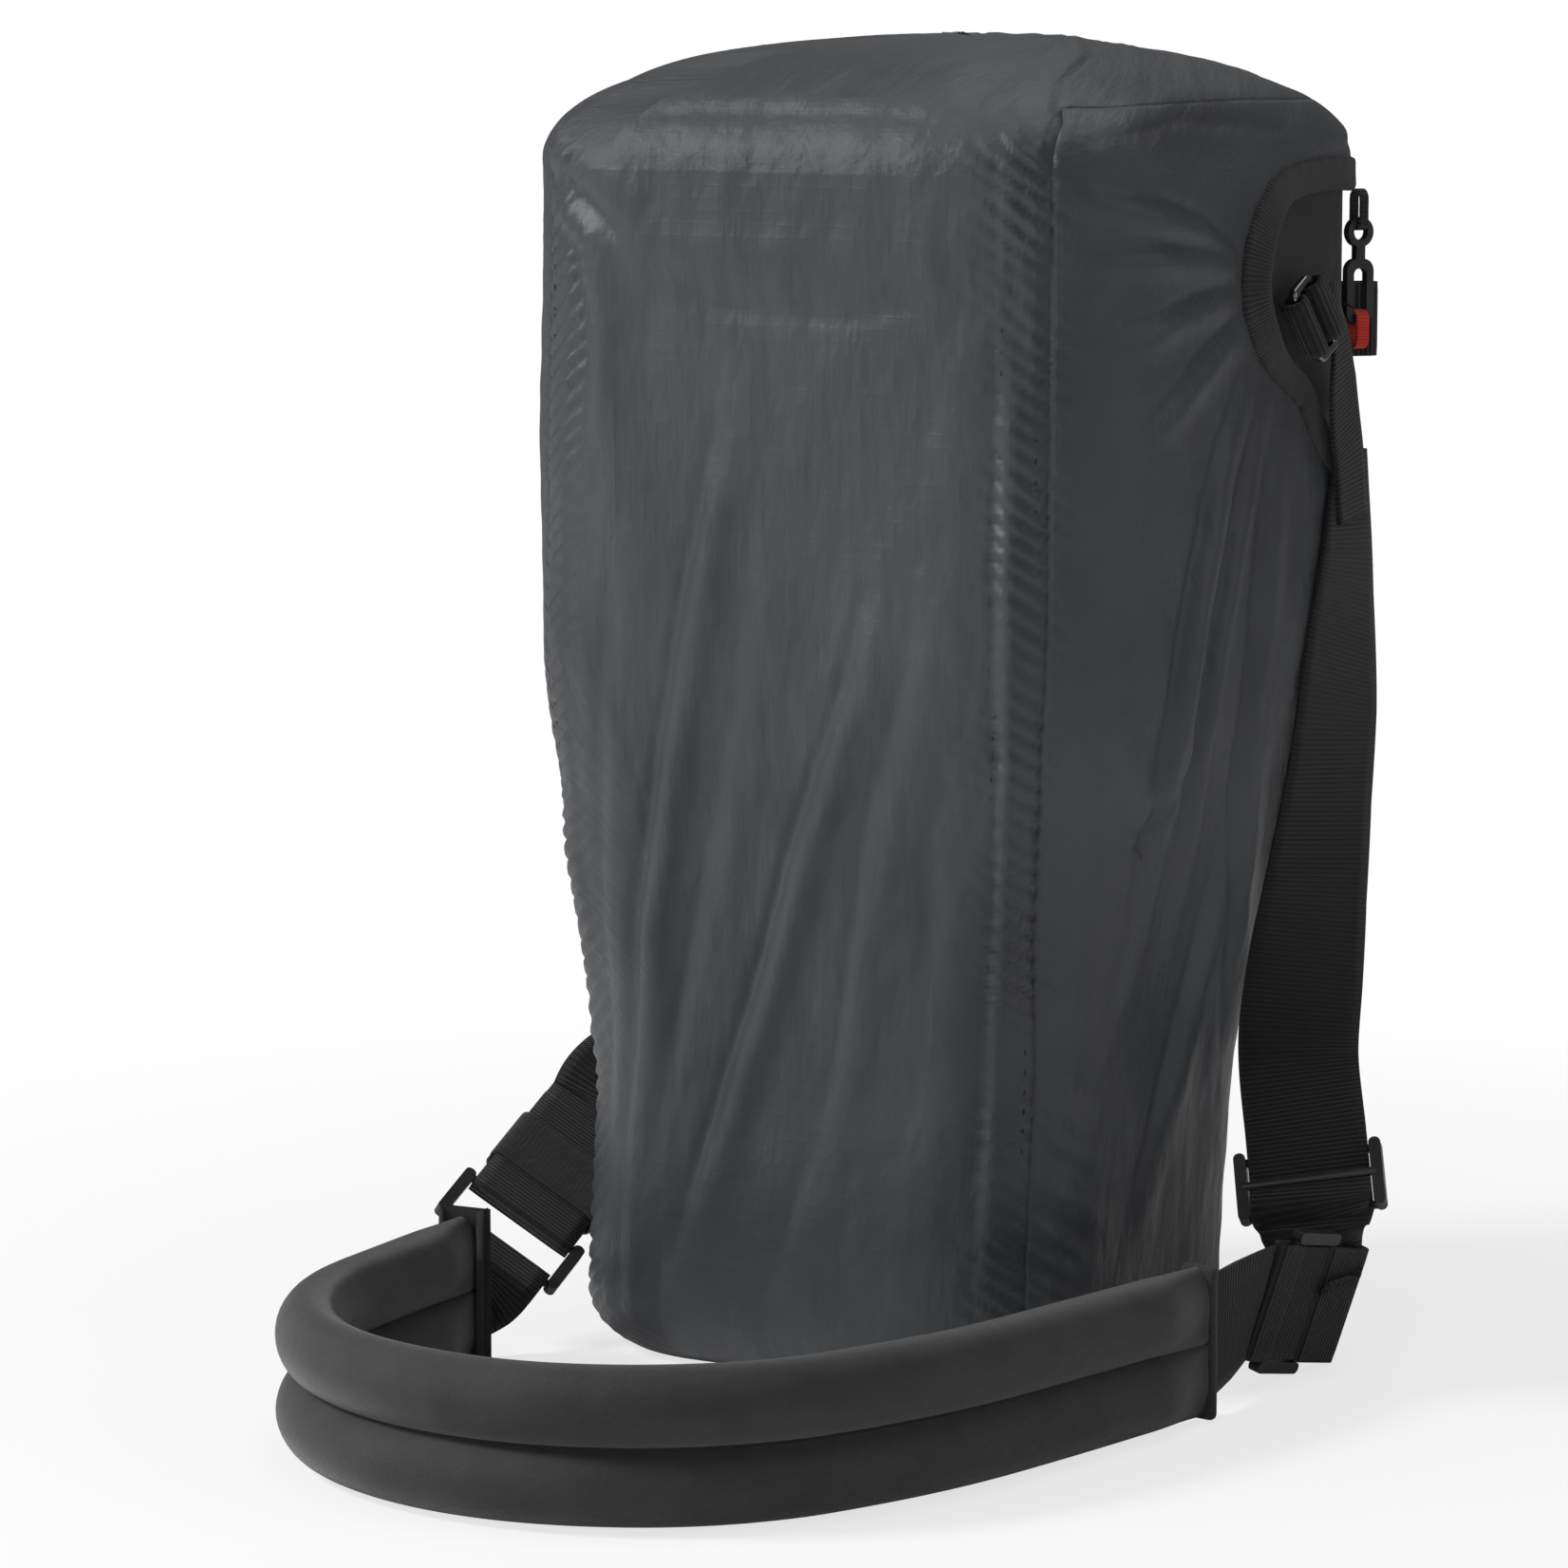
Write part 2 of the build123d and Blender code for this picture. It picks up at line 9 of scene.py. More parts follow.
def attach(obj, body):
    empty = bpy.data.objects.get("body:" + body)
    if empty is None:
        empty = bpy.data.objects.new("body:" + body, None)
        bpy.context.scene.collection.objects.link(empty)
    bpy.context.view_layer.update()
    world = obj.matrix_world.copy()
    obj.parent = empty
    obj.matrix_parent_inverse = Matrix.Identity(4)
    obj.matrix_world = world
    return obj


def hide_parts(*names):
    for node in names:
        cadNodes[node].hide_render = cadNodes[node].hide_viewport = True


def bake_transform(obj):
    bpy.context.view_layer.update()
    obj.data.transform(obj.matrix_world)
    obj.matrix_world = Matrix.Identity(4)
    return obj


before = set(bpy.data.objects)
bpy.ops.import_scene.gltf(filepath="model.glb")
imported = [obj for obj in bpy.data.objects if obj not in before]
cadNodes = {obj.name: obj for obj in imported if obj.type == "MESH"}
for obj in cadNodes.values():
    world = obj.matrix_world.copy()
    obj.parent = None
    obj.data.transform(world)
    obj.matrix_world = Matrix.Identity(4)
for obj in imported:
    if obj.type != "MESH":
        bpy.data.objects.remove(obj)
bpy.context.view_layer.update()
print("frame loaded:", len(cadNodes), "nodes")

mm = 0.001
webThickness = 1.8 * mm


def share(value, low, high):
    t = np.clip((value - low) / (high - low), 0.0, 1.0)
    return t * t * (3 - 2 * t)


def finishMesh(bm, name, material, smooth=True):
    mesh = bpy.data.meshes.new(name)
    for face in bm.faces:
        face.smooth = smooth
    bm.to_mesh(mesh)
    bm.free()
    mesh.materials.append(material)
    piece = bpy.data.objects.new(name, mesh)
    bpy.context.scene.collection.objects.link(piece)
    return piece


def standFor(piece, slot, *nodes):
    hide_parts(*nodes)


def addWall(piece, name, thickness):
    wall = piece.modifiers.new(name, "SOLIDIFY")
    wall.thickness = thickness
    wall.offset = -1  # inwards


def mappedGrid(columns, rows, place):
    # a flat grid whose points are moved onto a surface; place turns shares into points and UVs
    bm = bmesh.new()
    bmesh.ops.create_grid(bm, x_segments=columns, y_segments=rows, size=0.5)
    mesh = bpy.data.meshes.new("grid")
    bm.to_mesh(mesh)
    bm.free()
    co = np.zeros(len(mesh.vertices) * 3)
    mesh.vertices.foreach_get("co", co)
    shares = np.clip(co.reshape(-1, 3)[:, :2] + 0.5, 0, 1)
    points, uv = place(shares[:, 0], shares[:, 1])
    mesh.vertices.foreach_set("co", points.astype(np.float32).ravel())
    loopVerts = np.zeros(len(mesh.loops), np.int32)
    mesh.loops.foreach_get("vertex_index", loopVerts)
    layer = mesh.uv_layers.new(name="cloth")
    layer.data.foreach_set("uv", uv[loopVerts].astype(np.float32).ravel())
    return mesh


def weld(mesh, goneFaces=None, capEnds=False, distance=1e-5):
    bm = bmesh.new()
    bm.from_mesh(mesh)
    if goneFaces is not None:
        bm.faces.ensure_lookup_table()
        doomed = [bm.faces[int(i)] for i in np.nonzero(goneFaces)[0]]
        bmesh.ops.delete(bm, geom=doomed, context="FACES")
    bmesh.ops.remove_doubles(bm, verts=bm.verts[:], dist=distance)
    bmesh.ops.dissolve_degenerate(bm, edges=bm.edges[:], dist=1e-7)
    if capEnds:
        openEdges = [e for e in bm.edges if e.is_boundary]
        if openEdges:
            bmesh.ops.holes_fill(bm, edges=openEdges, sides=0)
    bmesh.ops.recalc_face_normals(bm, faces=bm.faces[:])
    bpy.data.meshes.remove(mesh)
    return bm


def plane(origin, along, across):
    # a plane with Y along, and X as near to across as is square to it
    y = Vector(along).normalized()
    x = Vector(across)
    x = (x - y * x.dot(y)).normalized()
    return Vector(origin) * mm, x, y, x.cross(y)


def at(place, across, along, rise=0.0):
    origin, x, y, z = place
    return origin + (x * across + y * along + z * rise) * mm


def curvePoints(points, count, cyclic=False):
    # smooth line through the points, evenly sampled, with its distance along
    p = np.array([list(v) for v in points], float)
    if cyclic:
        p = np.vstack([p[-1:], p, p[:2]])
    else:
        p = np.vstack([2 * p[:1] - p[1:2], p, 2 * p[-1:] - p[-2:-1]])
    fine = []
    for i in range(1, len(p) - 2):
        t = np.linspace(0, 1, 24, endpoint=False)[:, None]
        a, b, c, d = p[i - 1], p[i], p[i + 1], p[i + 2]
        bend = (2 * a - 5 * b + 4 * c - d) * t**2 + (3 * b - a - 3 * c + d) * t**3
        fine.append(0.5 * (2 * b + (c - a) * t + bend))
    fine = np.vstack(fine + [p[-2][None]])
    lengths = np.concatenate([[0], np.cumsum(np.linalg.norm(np.diff(fine, axis=0), axis=1))])
    wanted = np.linspace(0, lengths[-1], count)
    return np.stack([np.interp(wanted, lengths, fine[:, k]) for k in range(p.shape[1])], 1), wanted


def startMaterial(name, color, roughness, metallic=0.0, sheen=0.0, specular=0.5):
    material = bpy.data.materials.new(name)
    material.use_nodes = True
    shader = material.node_tree.nodes["Principled BSDF"]
    shader.inputs["Base Color"].default_value = (*color, 1)
    shader.inputs["Roughness"].default_value = roughness
    shader.inputs["Metallic"].default_value = metallic
    shader.inputs["Sheen Weight"].default_value = sheen
    shader.inputs["Sheen Roughness"].default_value = 0.4
    shader.inputs["Specular IOR Level"].default_value = specular
    return material, material.node_tree, shader


def node(tree, kind, **settings):
    made = tree.nodes.new(kind)
    for key, value in settings.items():
        if key in made.inputs:
            made.inputs[key].default_value = value
        else:
            setattr(made, key, value)
    return made


def calc(tree, operation, first, second=None, third=None):
    made = tree.nodes.new("ShaderNodeMath")
    made.operation = operation
    for socket, value in zip(made.inputs, (first, second, third)):
        if value is None:
            continue
        if isinstance(value, (int, float)):
            socket.default_value = value
        else:
            tree.links.new(value, socket)
    return made.outputs[0]


def stripes(tree, coordinate, pitch):
    return calc(tree, "SINE", calc(tree, "MULTIPLY", coordinate, 2 * math.pi / pitch))


def ridgeLines(tree, coordinate, pitch, sharpness):
    # thin raised lines, one in each pitch
    wave = calc(tree, "MULTIPLY_ADD", stripes(tree, coordinate, pitch), 0.5, 0.5)
    return calc(tree, "POWER", wave, sharpness)


def noiseAt(tree, source, scale, detail=3.0, stretch=None):
    texture = node(tree, "ShaderNodeTexNoise", Scale=scale, Detail=detail)
    if stretch:
        mapping = node(tree, "ShaderNodeMapping")
        mapping.inputs["Scale"].default_value = stretch
        tree.links.new(source, mapping.inputs["Vector"])
        source = mapping.outputs[0]
    tree.links.new(source, texture.inputs["Vector"])
    return texture.outputs["Fac"]


def shadeBetween(tree, shader, factor, dark, light, low=0.35, high=0.65):
    ramp = tree.nodes.new("ShaderNodeValToRGB")
    ramp.color_ramp.elements[0].position = low
    ramp.color_ramp.elements[1].position = high
    ramp.color_ramp.elements[0].color = (*dark, 1)
    ramp.color_ramp.elements[1].color = (*light, 1)
    tree.links.new(factor, ramp.inputs[0])
    tree.links.new(ramp.outputs[0], shader.inputs["Base Color"])


def roughBetween(tree, shader, factor, low, high):
    spread = node(tree, "ShaderNodeMapRange")
    spread.inputs["To Min"].default_value = low
    spread.inputs["To Max"].default_value = high
    tree.links.new(factor, spread.inputs["Value"])
    tree.links.new(spread.outputs[0], shader.inputs["Roughness"])


def bumps(tree, shader, *layers):
    # layers of (height, distance in metres)
    normal = None
    for height, distance in layers:
        bump = node(tree, "ShaderNodeBump", Distance=distance)
        tree.links.new(height, bump.inputs["Height"])
        if normal is not None:
            tree.links.new(normal, bump.inputs["Normal"])
        normal = bump.outputs[0]
    tree.links.new(normal, shader.inputs["Normal"])


def clothAxes(tree):
    uv = node(tree, "ShaderNodeUVMap", uv_map="cloth")
    split = node(tree, "ShaderNodeSeparateXYZ")
    tree.links.new(uv.outputs[0], split.inputs[0])
    return uv.outputs[0], split.outputs[0], split.outputs[1]


ripstopLook = dict(
    dark=(0.037, 0.039, 0.044), light=(0.060, 0.064, 0.071), grid=5.0 * mm, gridSharpness=14, thread=0.9 * mm,
    roughLow=0.36, roughHigh=0.52, sheen=0.04,
)


def ripstopCloth():
    look = ripstopLook
    material, tree, shader = startMaterial("ripstop", look["light"], 0.45, sheen=look["sheen"], specular=0.5)
    uv, across, along = clothAxes(tree)
    patches = noiseAt(tree, uv, 9.0, 4.0)
    shadeBetween(tree, shader, patches, look["dark"], look["light"], 0.3, 0.7)
    roughBetween(tree, shader, noiseAt(tree, uv, 40.0, 3.0), look["roughLow"], look["roughHigh"])
    upright = ridgeLines(tree, across, look["grid"], look["gridSharpness"])
    level = ridgeLines(tree, along, look["grid"], look["gridSharpness"])
    lines = calc(tree, "MAXIMUM", upright, level)
    warp, weft = stripes(tree, across, look["thread"]), stripes(tree, along, look["thread"])
    threads = calc(tree, "MULTIPLY", warp, weft)
    crinkle = noiseAt(tree, uv, 60.0, 5.0, (1.0, 0.35, 1.0))
    creases = noiseAt(tree, uv, 190.0, 3.0, (1.0, 0.5, 1.0))
    bumps(
        tree, shader, (crinkle, 2.2 * mm), (creases, 0.45 * mm), (lines, 0.04 * mm), (threads, 0.03 * mm)
    )
    return material


webLook = dict(dark=(0.007, 0.007, 0.008), light=(0.018, 0.018, 0.019), rough=0.72)


def webbingCloth(name="webbing", pitch=2.0 * mm, dark=None, light=None):
    material, tree, shader = startMaterial(name, webLook["light"], webLook["rough"], sheen=0.2, specular=0.35)
    uv, across, along = clothAxes(tree)
    # the rib wave raises the ribs in the bump, and the same wave paints the grooves between them darker as
    # painted shade
    ribsAndGrooveShade = calc(tree, "MULTIPLY_ADD", stripes(tree, along, pitch), 0.5, 0.5)
    shadeBetween(tree, shader, ribsAndGrooveShade, dark or webLook["dark"], light or webLook["light"], 0.1, 0.95)
    yarns = calc(tree, "MULTIPLY", stripes(tree, across, 1.1 * mm), stripes(tree, along, pitch / 2))
    fuzz = noiseAt(tree, uv, 900.0, 2.0)
    bumps(tree, shader, (ribsAndGrooveShade, 0.35 * mm), (yarns, 0.15 * mm), (fuzz, 0.1 * mm))
    return material


def neopreneCloth():
    material, tree, shader = startMaterial("neoprene", (0.025, 0.026, 0.028), 0.62, sheen=0.35, specular=0.4)
    uv, across, along = clothAxes(tree)
    shadeBetween(tree, shader, noiseAt(tree, uv, 35.0, 5.0), (0.019, 0.0195, 0.021), (0.029, 0.030, 0.032))
    knit = calc(tree, "MULTIPLY", stripes(tree, across, 1.0 * mm), stripes(tree, along, 1.2 * mm))
    bumps(tree, shader, (noiseAt(tree, uv, 120.0, 4.0), 0.25 * mm), (knit, 0.08 * mm))
    return material


def plainCloth(name, dark, light, rough, weave=1.3 * mm, sheen=0.15):
    material, tree, shader = startMaterial(name, light, rough, sheen=sheen, specular=0.4)
    uv, across, along = clothAxes(tree)
    shadeBetween(tree, shader, noiseAt(tree, uv, 25.0, 4.0), dark, light)
    threads = calc(tree, "MULTIPLY", stripes(tree, across, weave), stripes(tree, along, weave))
    bumps(tree, shader, (noiseAt(tree, uv, 70.0, 3.0), 0.4 * mm), (threads, 0.12 * mm))
    return material


def hardFinish(name, dark, light, rough, metallic=0.0, grain=600.0, depth=0.06 * mm):
    # moulded plastic or metal, on Object coordinates
    material, tree, shader = startMaterial(name, light, rough, metallic=metallic, specular=0.5)
    space = node(tree, "ShaderNodeTexCoord").outputs["Object"]
    shadeBetween(tree, shader, noiseAt(tree, space, 60.0, 4.0), dark, light)
    roughBetween(tree, shader, noiseAt(tree, space, 220.0, 3.0), rough * 0.8, rough * 1.25)
    bumps(tree, shader, (noiseAt(tree, space, grain, 2.0), depth))
    return material


ripstop = ripstopCloth()
webbing = webbingCloth()
redTape = webbingCloth("red_tape", 1.2 * mm, (0.62, 0.020, 0.012), (0.95, 0.045, 0.025))
bindingTape = webbingCloth("binding_tape", 1.6 * mm, (0.014, 0.014, 0.015), (0.034, 0.034, 0.037))
neoprene = neopreneCloth()
elastic = plainCloth("elastic", (0.015, 0.015, 0.016), (0.024, 0.024, 0.026), 0.6, 0.8 * mm)
bagCloth = plainCloth("bag_fabric", (0.016, 0.016, 0.018), (0.028, 0.028, 0.031), 0.6)
coatedCloth = plainCloth("coated_fabric", (0.012, 0.012, 0.013), (0.022, 0.022, 0.024), 0.4)
backMesh = plainCloth("air_mesh", (0.018, 0.018, 0.020), (0.034, 0.034, 0.037), 0.8, 2.4 * mm)
thread = plainCloth("thread", (0.010, 0.010, 0.011), (0.020, 0.020, 0.022), 0.6, 0.5 * mm)
gunmetal = hardFinish(
    "gunmetal", (0.16, 0.16, 0.165), (0.30, 0.30, 0.31), 0.22, metallic=1.0, grain=900.0, depth=0.02 * mm
)
mouldedPlastic = hardFinish("moulded_plastic", (0.018, 0.019, 0.021), (0.030, 0.031, 0.034), 0.38)
boardPlastic = hardFinish("board_plastic", (0.05, 0.05, 0.05), (0.08, 0.08, 0.08), 0.55)
print("materials ready")


view = dict(place=(1.250, -2.165, 0.580), aim=(-0.0442, -0.0255, 0.2335), lens=138.9, sensor=36.0)
cameraData = bpy.data.cameras.new("camera")
camera = bpy.data.objects.new("camera", cameraData)
bpy.context.scene.collection.objects.link(camera)
camera.location = view["place"]
camera.rotation_euler = (Vector(view["aim"]) - Vector(view["place"])).to_track_quat("-Z", "Y").to_euler()
cameraData.lens = view["lens"]
cameraData.sensor_width = view["sensor"]
bpy.context.scene.camera = camera

lampList = [
    dict(name="key", place=(-1.9, -1.6, 2.0), aim=(0.0, -0.1, 0.30), size=0.7, power=70.0),
    dict(name="front", place=(0.5, -2.6, 1.2), aim=(0.0, 0.0, 0.25), size=1.2, power=9.0),
    dict(name="side", place=(2.4, 0.4, 1.3), aim=(0.1, 0.0, 0.25), size=0.8, power=6.0),
    dict(name="overhead", place=(0.1, 0.3, 2.1), aim=(0.0, 0.0, 0.2), size=1.4, power=11.0),
]
for lamp in lampList:
    lightData = bpy.data.lights.new(lamp["name"], "AREA")
    lightData.energy = lamp["power"]
    lightData.size = lamp["size"]
    light = bpy.data.objects.new(lamp["name"], lightData)
    light.location = lamp["place"]
    light.rotation_euler = (Vector(lamp["aim"]) - Vector(lamp["place"])).to_track_quat("-Z", "Y").to_euler()
    bpy.context.scene.collection.objects.link(light)

world = bpy.data.worlds.new("studio")
bpy.context.scene.world = world
world.use_nodes = True
worldTree = world.node_tree
backdrop = worldTree.nodes["Background"]
backdrop.inputs["Color"].default_value = (1, 1, 1, 1)
rays = worldTree.nodes.new("ShaderNodeLightPath")
seen = calc(worldTree, "MAXIMUM", rays.outputs["Is Camera Ray"], rays.outputs["Is Transmission Ray"])
worldTree.links.new(calc(worldTree, "MULTIPLY_ADD", seen, 0.88, 0.12), backdrop.inputs["Strength"])

floorBm = bmesh.new()
bmesh.ops.create_grid(floorBm, x_segments=1, y_segments=1, size=6.0)
floorMaterial, floorTree, floorShader = startMaterial("floor", (0.93, 0.93, 0.93), 0.9, specular=0.0)
glow = node(floorTree, "ShaderNodeEmission", Strength=1.0)
blendGlow = node(floorTree, "ShaderNodeMixShader")
floorRays = floorTree.nodes.new("ShaderNodeLightPath")
# the floor is plain white away from the object, and keeps its shadow near it
floorSpace = floorTree.nodes.new("ShaderNodeTexCoord")
distance = node(floorTree, "ShaderNodeVectorMath", operation="LENGTH")
floorTree.links.new(floorSpace.outputs["Object"], distance.inputs[0])
fade = node(floorTree, "ShaderNodeMapRange")
for socket, value in (("From Min", 0.30), ("From Max", 0.80), ("To Min", 0.72), ("To Max", 1.0)):
    fade.inputs[socket].default_value = value
floorTree.links.new(distance.outputs["Value"], fade.inputs["Value"])
cameraGlow = calc(floorTree, "MULTIPLY", floorRays.outputs["Is Camera Ray"], fade.outputs[0])
floorTree.links.new(cameraGlow, blendGlow.inputs[0])
floorTree.links.new(floorShader.outputs[0], blendGlow.inputs[1])
floorTree.links.new(glow.outputs[0], blendGlow.inputs[2])
floorTree.links.new(blendGlow.outputs[0], floorTree.nodes["Material Output"].inputs["Surface"])
floor = finishMesh(floorBm, "floor", floorMaterial, smooth=False)
print("camera and light ready")


shape = dict(
    height=0.543, rim=0.280, base=0.230, depthLess=0.012, corner=0.062, edge=0.025, waist=0.112, full=0.300,
    shoulder=0.492, leanRight=0.012, leanBack=0.014, hem=0.003,
)


def wallWidth(z):
    flared = shape["base"] + (shape["rim"] - shape["base"]) * share(z, shape["waist"], shape["full"])
    drop = np.clip(shape["edge"] - z, 0, shape["edge"])
    return flared - 2 * (shape["edge"] - np.sqrt(shape["edge"] ** 2 - drop**2))


def crownProfile(turn):
    # width and height of the top, as the wall turns over by this angle
    width = shape["rim"] * (1 - 0.97 * (1 - np.cos(turn)) ** 1.15)
    return width, shape["shoulder"] + (shape["height"] - shape["shoulder"]) * np.sin(turn)


def sectionSizes(width):
    deep = width - shape["depthLess"]
    radius = np.minimum(np.minimum(shape["corner"], 0.27 * width), 0.45 * deep)
    return width / 2 - radius, deep / 2 - radius, radius


def aroundSection(s, width):
    # point and outward direction at a distance s round the section, from the middle of the front
    a, b, r = sectionSizes(width)
    arc = r * math.pi / 2
    total = 4 * a + 4 * b + 4 * arc
    run = np.mod(s + a, total)
    marks = [2 * a, arc, 2 * b, arc, 2 * a, arc, 2 * b, arc]
    x, y = np.zeros_like(run), np.zeros_like(run)
    nx, ny = np.zeros_like(run), np.zeros_like(run)
    start = np.zeros_like(run)
    # each flat's start corner, way along and way out
    flats = {
        0: ((-1, -1), (1, 0), (0, -1)), 2: ((1, -1), (0, 1), (1, 0)),
        4: ((1, 1), (-1, 0), (0, 1)), 6: ((-1, 1), (0, -1), (-1, 0)),
    }
    corners = {1: ((1, -1), -90), 3: ((1, 1), 0), 5: ((-1, 1), 90), 7: ((-1, -1), 180)}
    for k, length in enumerate(marks):
        inside = (run >= start) & ((run < start + length) | (k == 7))
        go = run - start
        if k in flats:
            (sx, sy), (dx, dy), (ox, oy) = flats[k]
            px, py = sx * a + dx * go + ox * r, sy * b + dy * go + oy * r
            qx, qy = ox + 0 * go, oy + 0 * go
        else:
            (sx, sy), degrees = corners[k]
            angle = math.radians(degrees) + go / r
            qx, qy = np.cos(angle), np.sin(angle)
            px, py = sx * a + r * qx, sy * b + r * qy
        x, y = np.where(inside, px, x), np.where(inside, py, y)
        nx, ny = np.where(inside, qx, nx), np.where(inside, qy, ny)
        start = start + length
    return x, y, nx, ny


def halfRound(width):
    a, b, r = sectionSizes(width)
    return 2 * a + 2 * b + math.pi * r


def leanAt(z):
    lifted = share(z, 0, shape["full"])
    return shape["leanRight"] * lifted, shape["leanBack"] * lifted


def crownTurn(z):
    # how far the wall has turned over at this height
    return np.arcsin(np.clip((z - shape["shoulder"]) / (shape["height"] - shape["shoulder"]), 0, 0.999))


def onBag(s, z, out=0.0):
    # point on the outside shape, out beyond it
    turn = crownTurn(z)
    width = np.where(z > shape["shoulder"], crownProfile(turn)[0], wallWidth(z))
    x, y, nx, ny = aroundSection(s, width)
    cx, cy = leanAt(z)
    flat = np.cos(turn)
    rise = np.sin(turn) - np.clip(1 - z / shape["edge"], 0, 1)
    return np.stack([cx + x + nx * out * flat, cy + y + ny * out * flat, z + out * rise], 1)


def onBack(back, z, out=0.0):
    # the same, at a distance from the middle of the back, positive on the right
    turn = crownTurn(z)
    width = np.where(z > shape["shoulder"], crownProfile(turn)[0], wallWidth(z))
    return onBag(halfRound(width) - back, z, out)


coverSizes = dict(
    flatColumns=72, cornerColumns=40, wallRows=230, crownRows=52, cloth=0.9 * mm, topSeamTurn=0.52,
    lastTurn=89.6, bandWidth=17.0, bandRise=0.8, puckerDepth=1.7, puckerPitch=8.5, stitchDent=0.9,
    standOff=1.0, deepest=-3.6, proudest=6, hemBulge=4.5, topBulge=4.2, foldGain=1.3, sideFoldGain=0.35,
    wrinkles=(1.5, 0.9, 0.35),
)
# where the two front seams run: heights, and distances from the middle of the front (mm)
seamHeights = [0, 34, 187, 303, 377, 512, 526]
rightSeam = [107, 108.6, 104, 112.5, 113, 114, 104]
leftSeam = [113, 115, 124, 126, 120, 116, 104]
# folds of the cloth: (points as (distance, height) in mm, half width, depth, ridge beside it)
coverFolds = [
    (((-30, 395), (-44, 332), (-56, 270), (-74, 181), (-77, 25)), 6.5, 3.4, 0.55),
    (((38, 330), (29, 291), (4, 228), (-29, 126), (-50, 40)), 6.5, 3.2, 0.6),
    (((63, 353), (59, 300), (35, 222), (17, 103), (-6, 22)), 8.0, 1.8, 0.5),
    (((-12, 360), (-22, 280), (-48, 170), (-66, 60)), 7.0, 1.5, 0.4),
    (((-70, 400), (-84, 300), (-95, 180), (-92, 50)), 7.0, 1.6, 0.4),
    (((97, 420), (96, 377), (96, 265), (87, 147), (88, 60)), 4.0, 2.0, 0.7),
    (((70, 250), (62, 160), (50, 60)), 9.0, 1.4, 0.4),
    (((-122, 489), (-104, 485), (-87, 477), (-71, 464)), 8.5, 3.0, 0.35),
    (((-112, 470), (-98, 458), (-92, 430), (-96, 380)), 6.0, 3.2, 0.5),
    (((-60, 452), (-20, 438), (30, 436), (80, 448)), 9.0, 1.7, 0.3),
    (((-100, 511), (-40, 514), (20, 514), (66, 512)), 5.0, 1.2, 0.5),
    (((236, 415), (211, 379), (184, 306), (158, 223), (142, 150)), 7.0, 3.4, 0.6),
    (((250, 408), (240, 380), (216, 325), (194, 258), (183, 178)), 6.0, 2.8, 0.6),
    (((262, 392), (252, 330), (236, 240), (244, 120)), 8.0, 3.0, 0.5),
    (((232, 232), (206, 150), (172, 60)), 9.0, 2.6, 0.5),
    (((142, 268), (152, 228), (170, 240), (194, 262)), 5.0, 2.0, 0.5),
    (((242, 456), (200, 474), (160, 483), (128, 490)), 5.0, 2.3, 0.6),
    (((242, 452), (200, 462), (160, 466), (134, 465)), 5.0, 2.0, 0.6),
    (((244, 446), (210, 446), (175, 440), (150, 433)), 5.0, 2.0, 0.6),
    (((246, 440), (215, 428), (185, 412), (160, 395)), 5.5, 2.0, 0.6),
    (((150, 330), (140, 250), (132, 120)), 7.0, 1.5, 0.5),
    (((130, 505), (180, 512), (250, 508), (310, 500)), 5.0, 1.6, 0.5),
    (((270, 498), (300, 492), (350, 500)), 4.0, 1.8, 0.5),
    (((-250, 470), (-210, 400), (-190, 300), (-180, 150)), 8.0, 3.0, 0.5),
    (((-160, 440), (-168, 330), (-176, 200), (-150, 70)), 8.0, 2.4, 0.5),
    (((-262, 400), (-240, 300), (-230, 180), (-210, 80)), 8.0, 2.6, 0.5),
    (((330, 350), (318, 260), (290, 160), (270, 60)), 8.0, 2.4, 0.5),
    (((-330, 350), (-318, 260), (-290, 160), (-270, 60)), 8.0, 2.4, 0.5),
]
# the opening at the back with its two ports: (distance from the middle of the back, height) in mm
portEdge = [
    (147, 480), (188, 481), (222, 477), (240, 464), (247, 446), (242, 433), (229, 420), (200, 404),
    (184, 386), (150, 360), (122, 333), (102, 303), (92, 268),
]
slotEdge = [(92, 180), (92, 105), (88, 84), (76, 71), (56, 66)]
halfOpening = [(70, 480)] + portEdge + slotEdge
openingPoints = halfOpening + [(-x, z) for x, z in reversed(halfOpening)]


def seamShare(z, seam, width):
    a, _, r = sectionSizes(width)
    return np.clip((np.interp(z / mm, seamHeights, seam) * mm - a) / (r * math.pi / 2), 0.12, 0.88)


def foldField(s, z, points, halfWidth, depth, ridge):
    pts = np.array(points, float)
    best = np.full(s.shape, 1e9)
    side = np.zeros_like(s)
    along = np.zeros_like(s)
    lengths = np.linalg.norm(np.diff(pts, axis=0), axis=1)
    total = lengths.sum()
    walked = 0.0
    for i, length in enumerate(lengths):
        d = pts[i + 1] - pts[i]
        t = np.clip(((s - pts[i, 0]) * d[0] + (z - pts[i, 1]) * d[1]) / length**2, 0, 1)
        ex, ez = s - (pts[i, 0] + t * d[0]), z - (pts[i, 1] + t * d[1])
        dist = np.hypot(ex, ez)
        closer = dist < best
        best = np.where(closer, dist, best)
        side = np.where(closer, np.sign(d[0] * ez - d[1] * ex), side)
        along = np.where(closer, (walked + t * length) / total, along)
        walked += length
    taper = np.sqrt(np.clip(np.sin(np.pi * np.clip(along, 0.004, 0.996)), 0, 1))
    offset = best * side
    crease = np.exp(-((best / (0.55 * halfWidth)) ** 2))
    crest = np.exp(-(((offset - 1.5 * halfWidth) / (1.3 * halfWidth)) ** 2))
    return depth * taper * (1.7 * ridge * crest - 0.55 * crease)


def wavy(s, z, scaleS, scaleZ, seed):
    # smooth seeded noise over the cloth, -1 to 1
    return np.array([noise.noise(Vector((a / scaleS, b / scaleZ, seed))) for a, b in zip(s, z)])


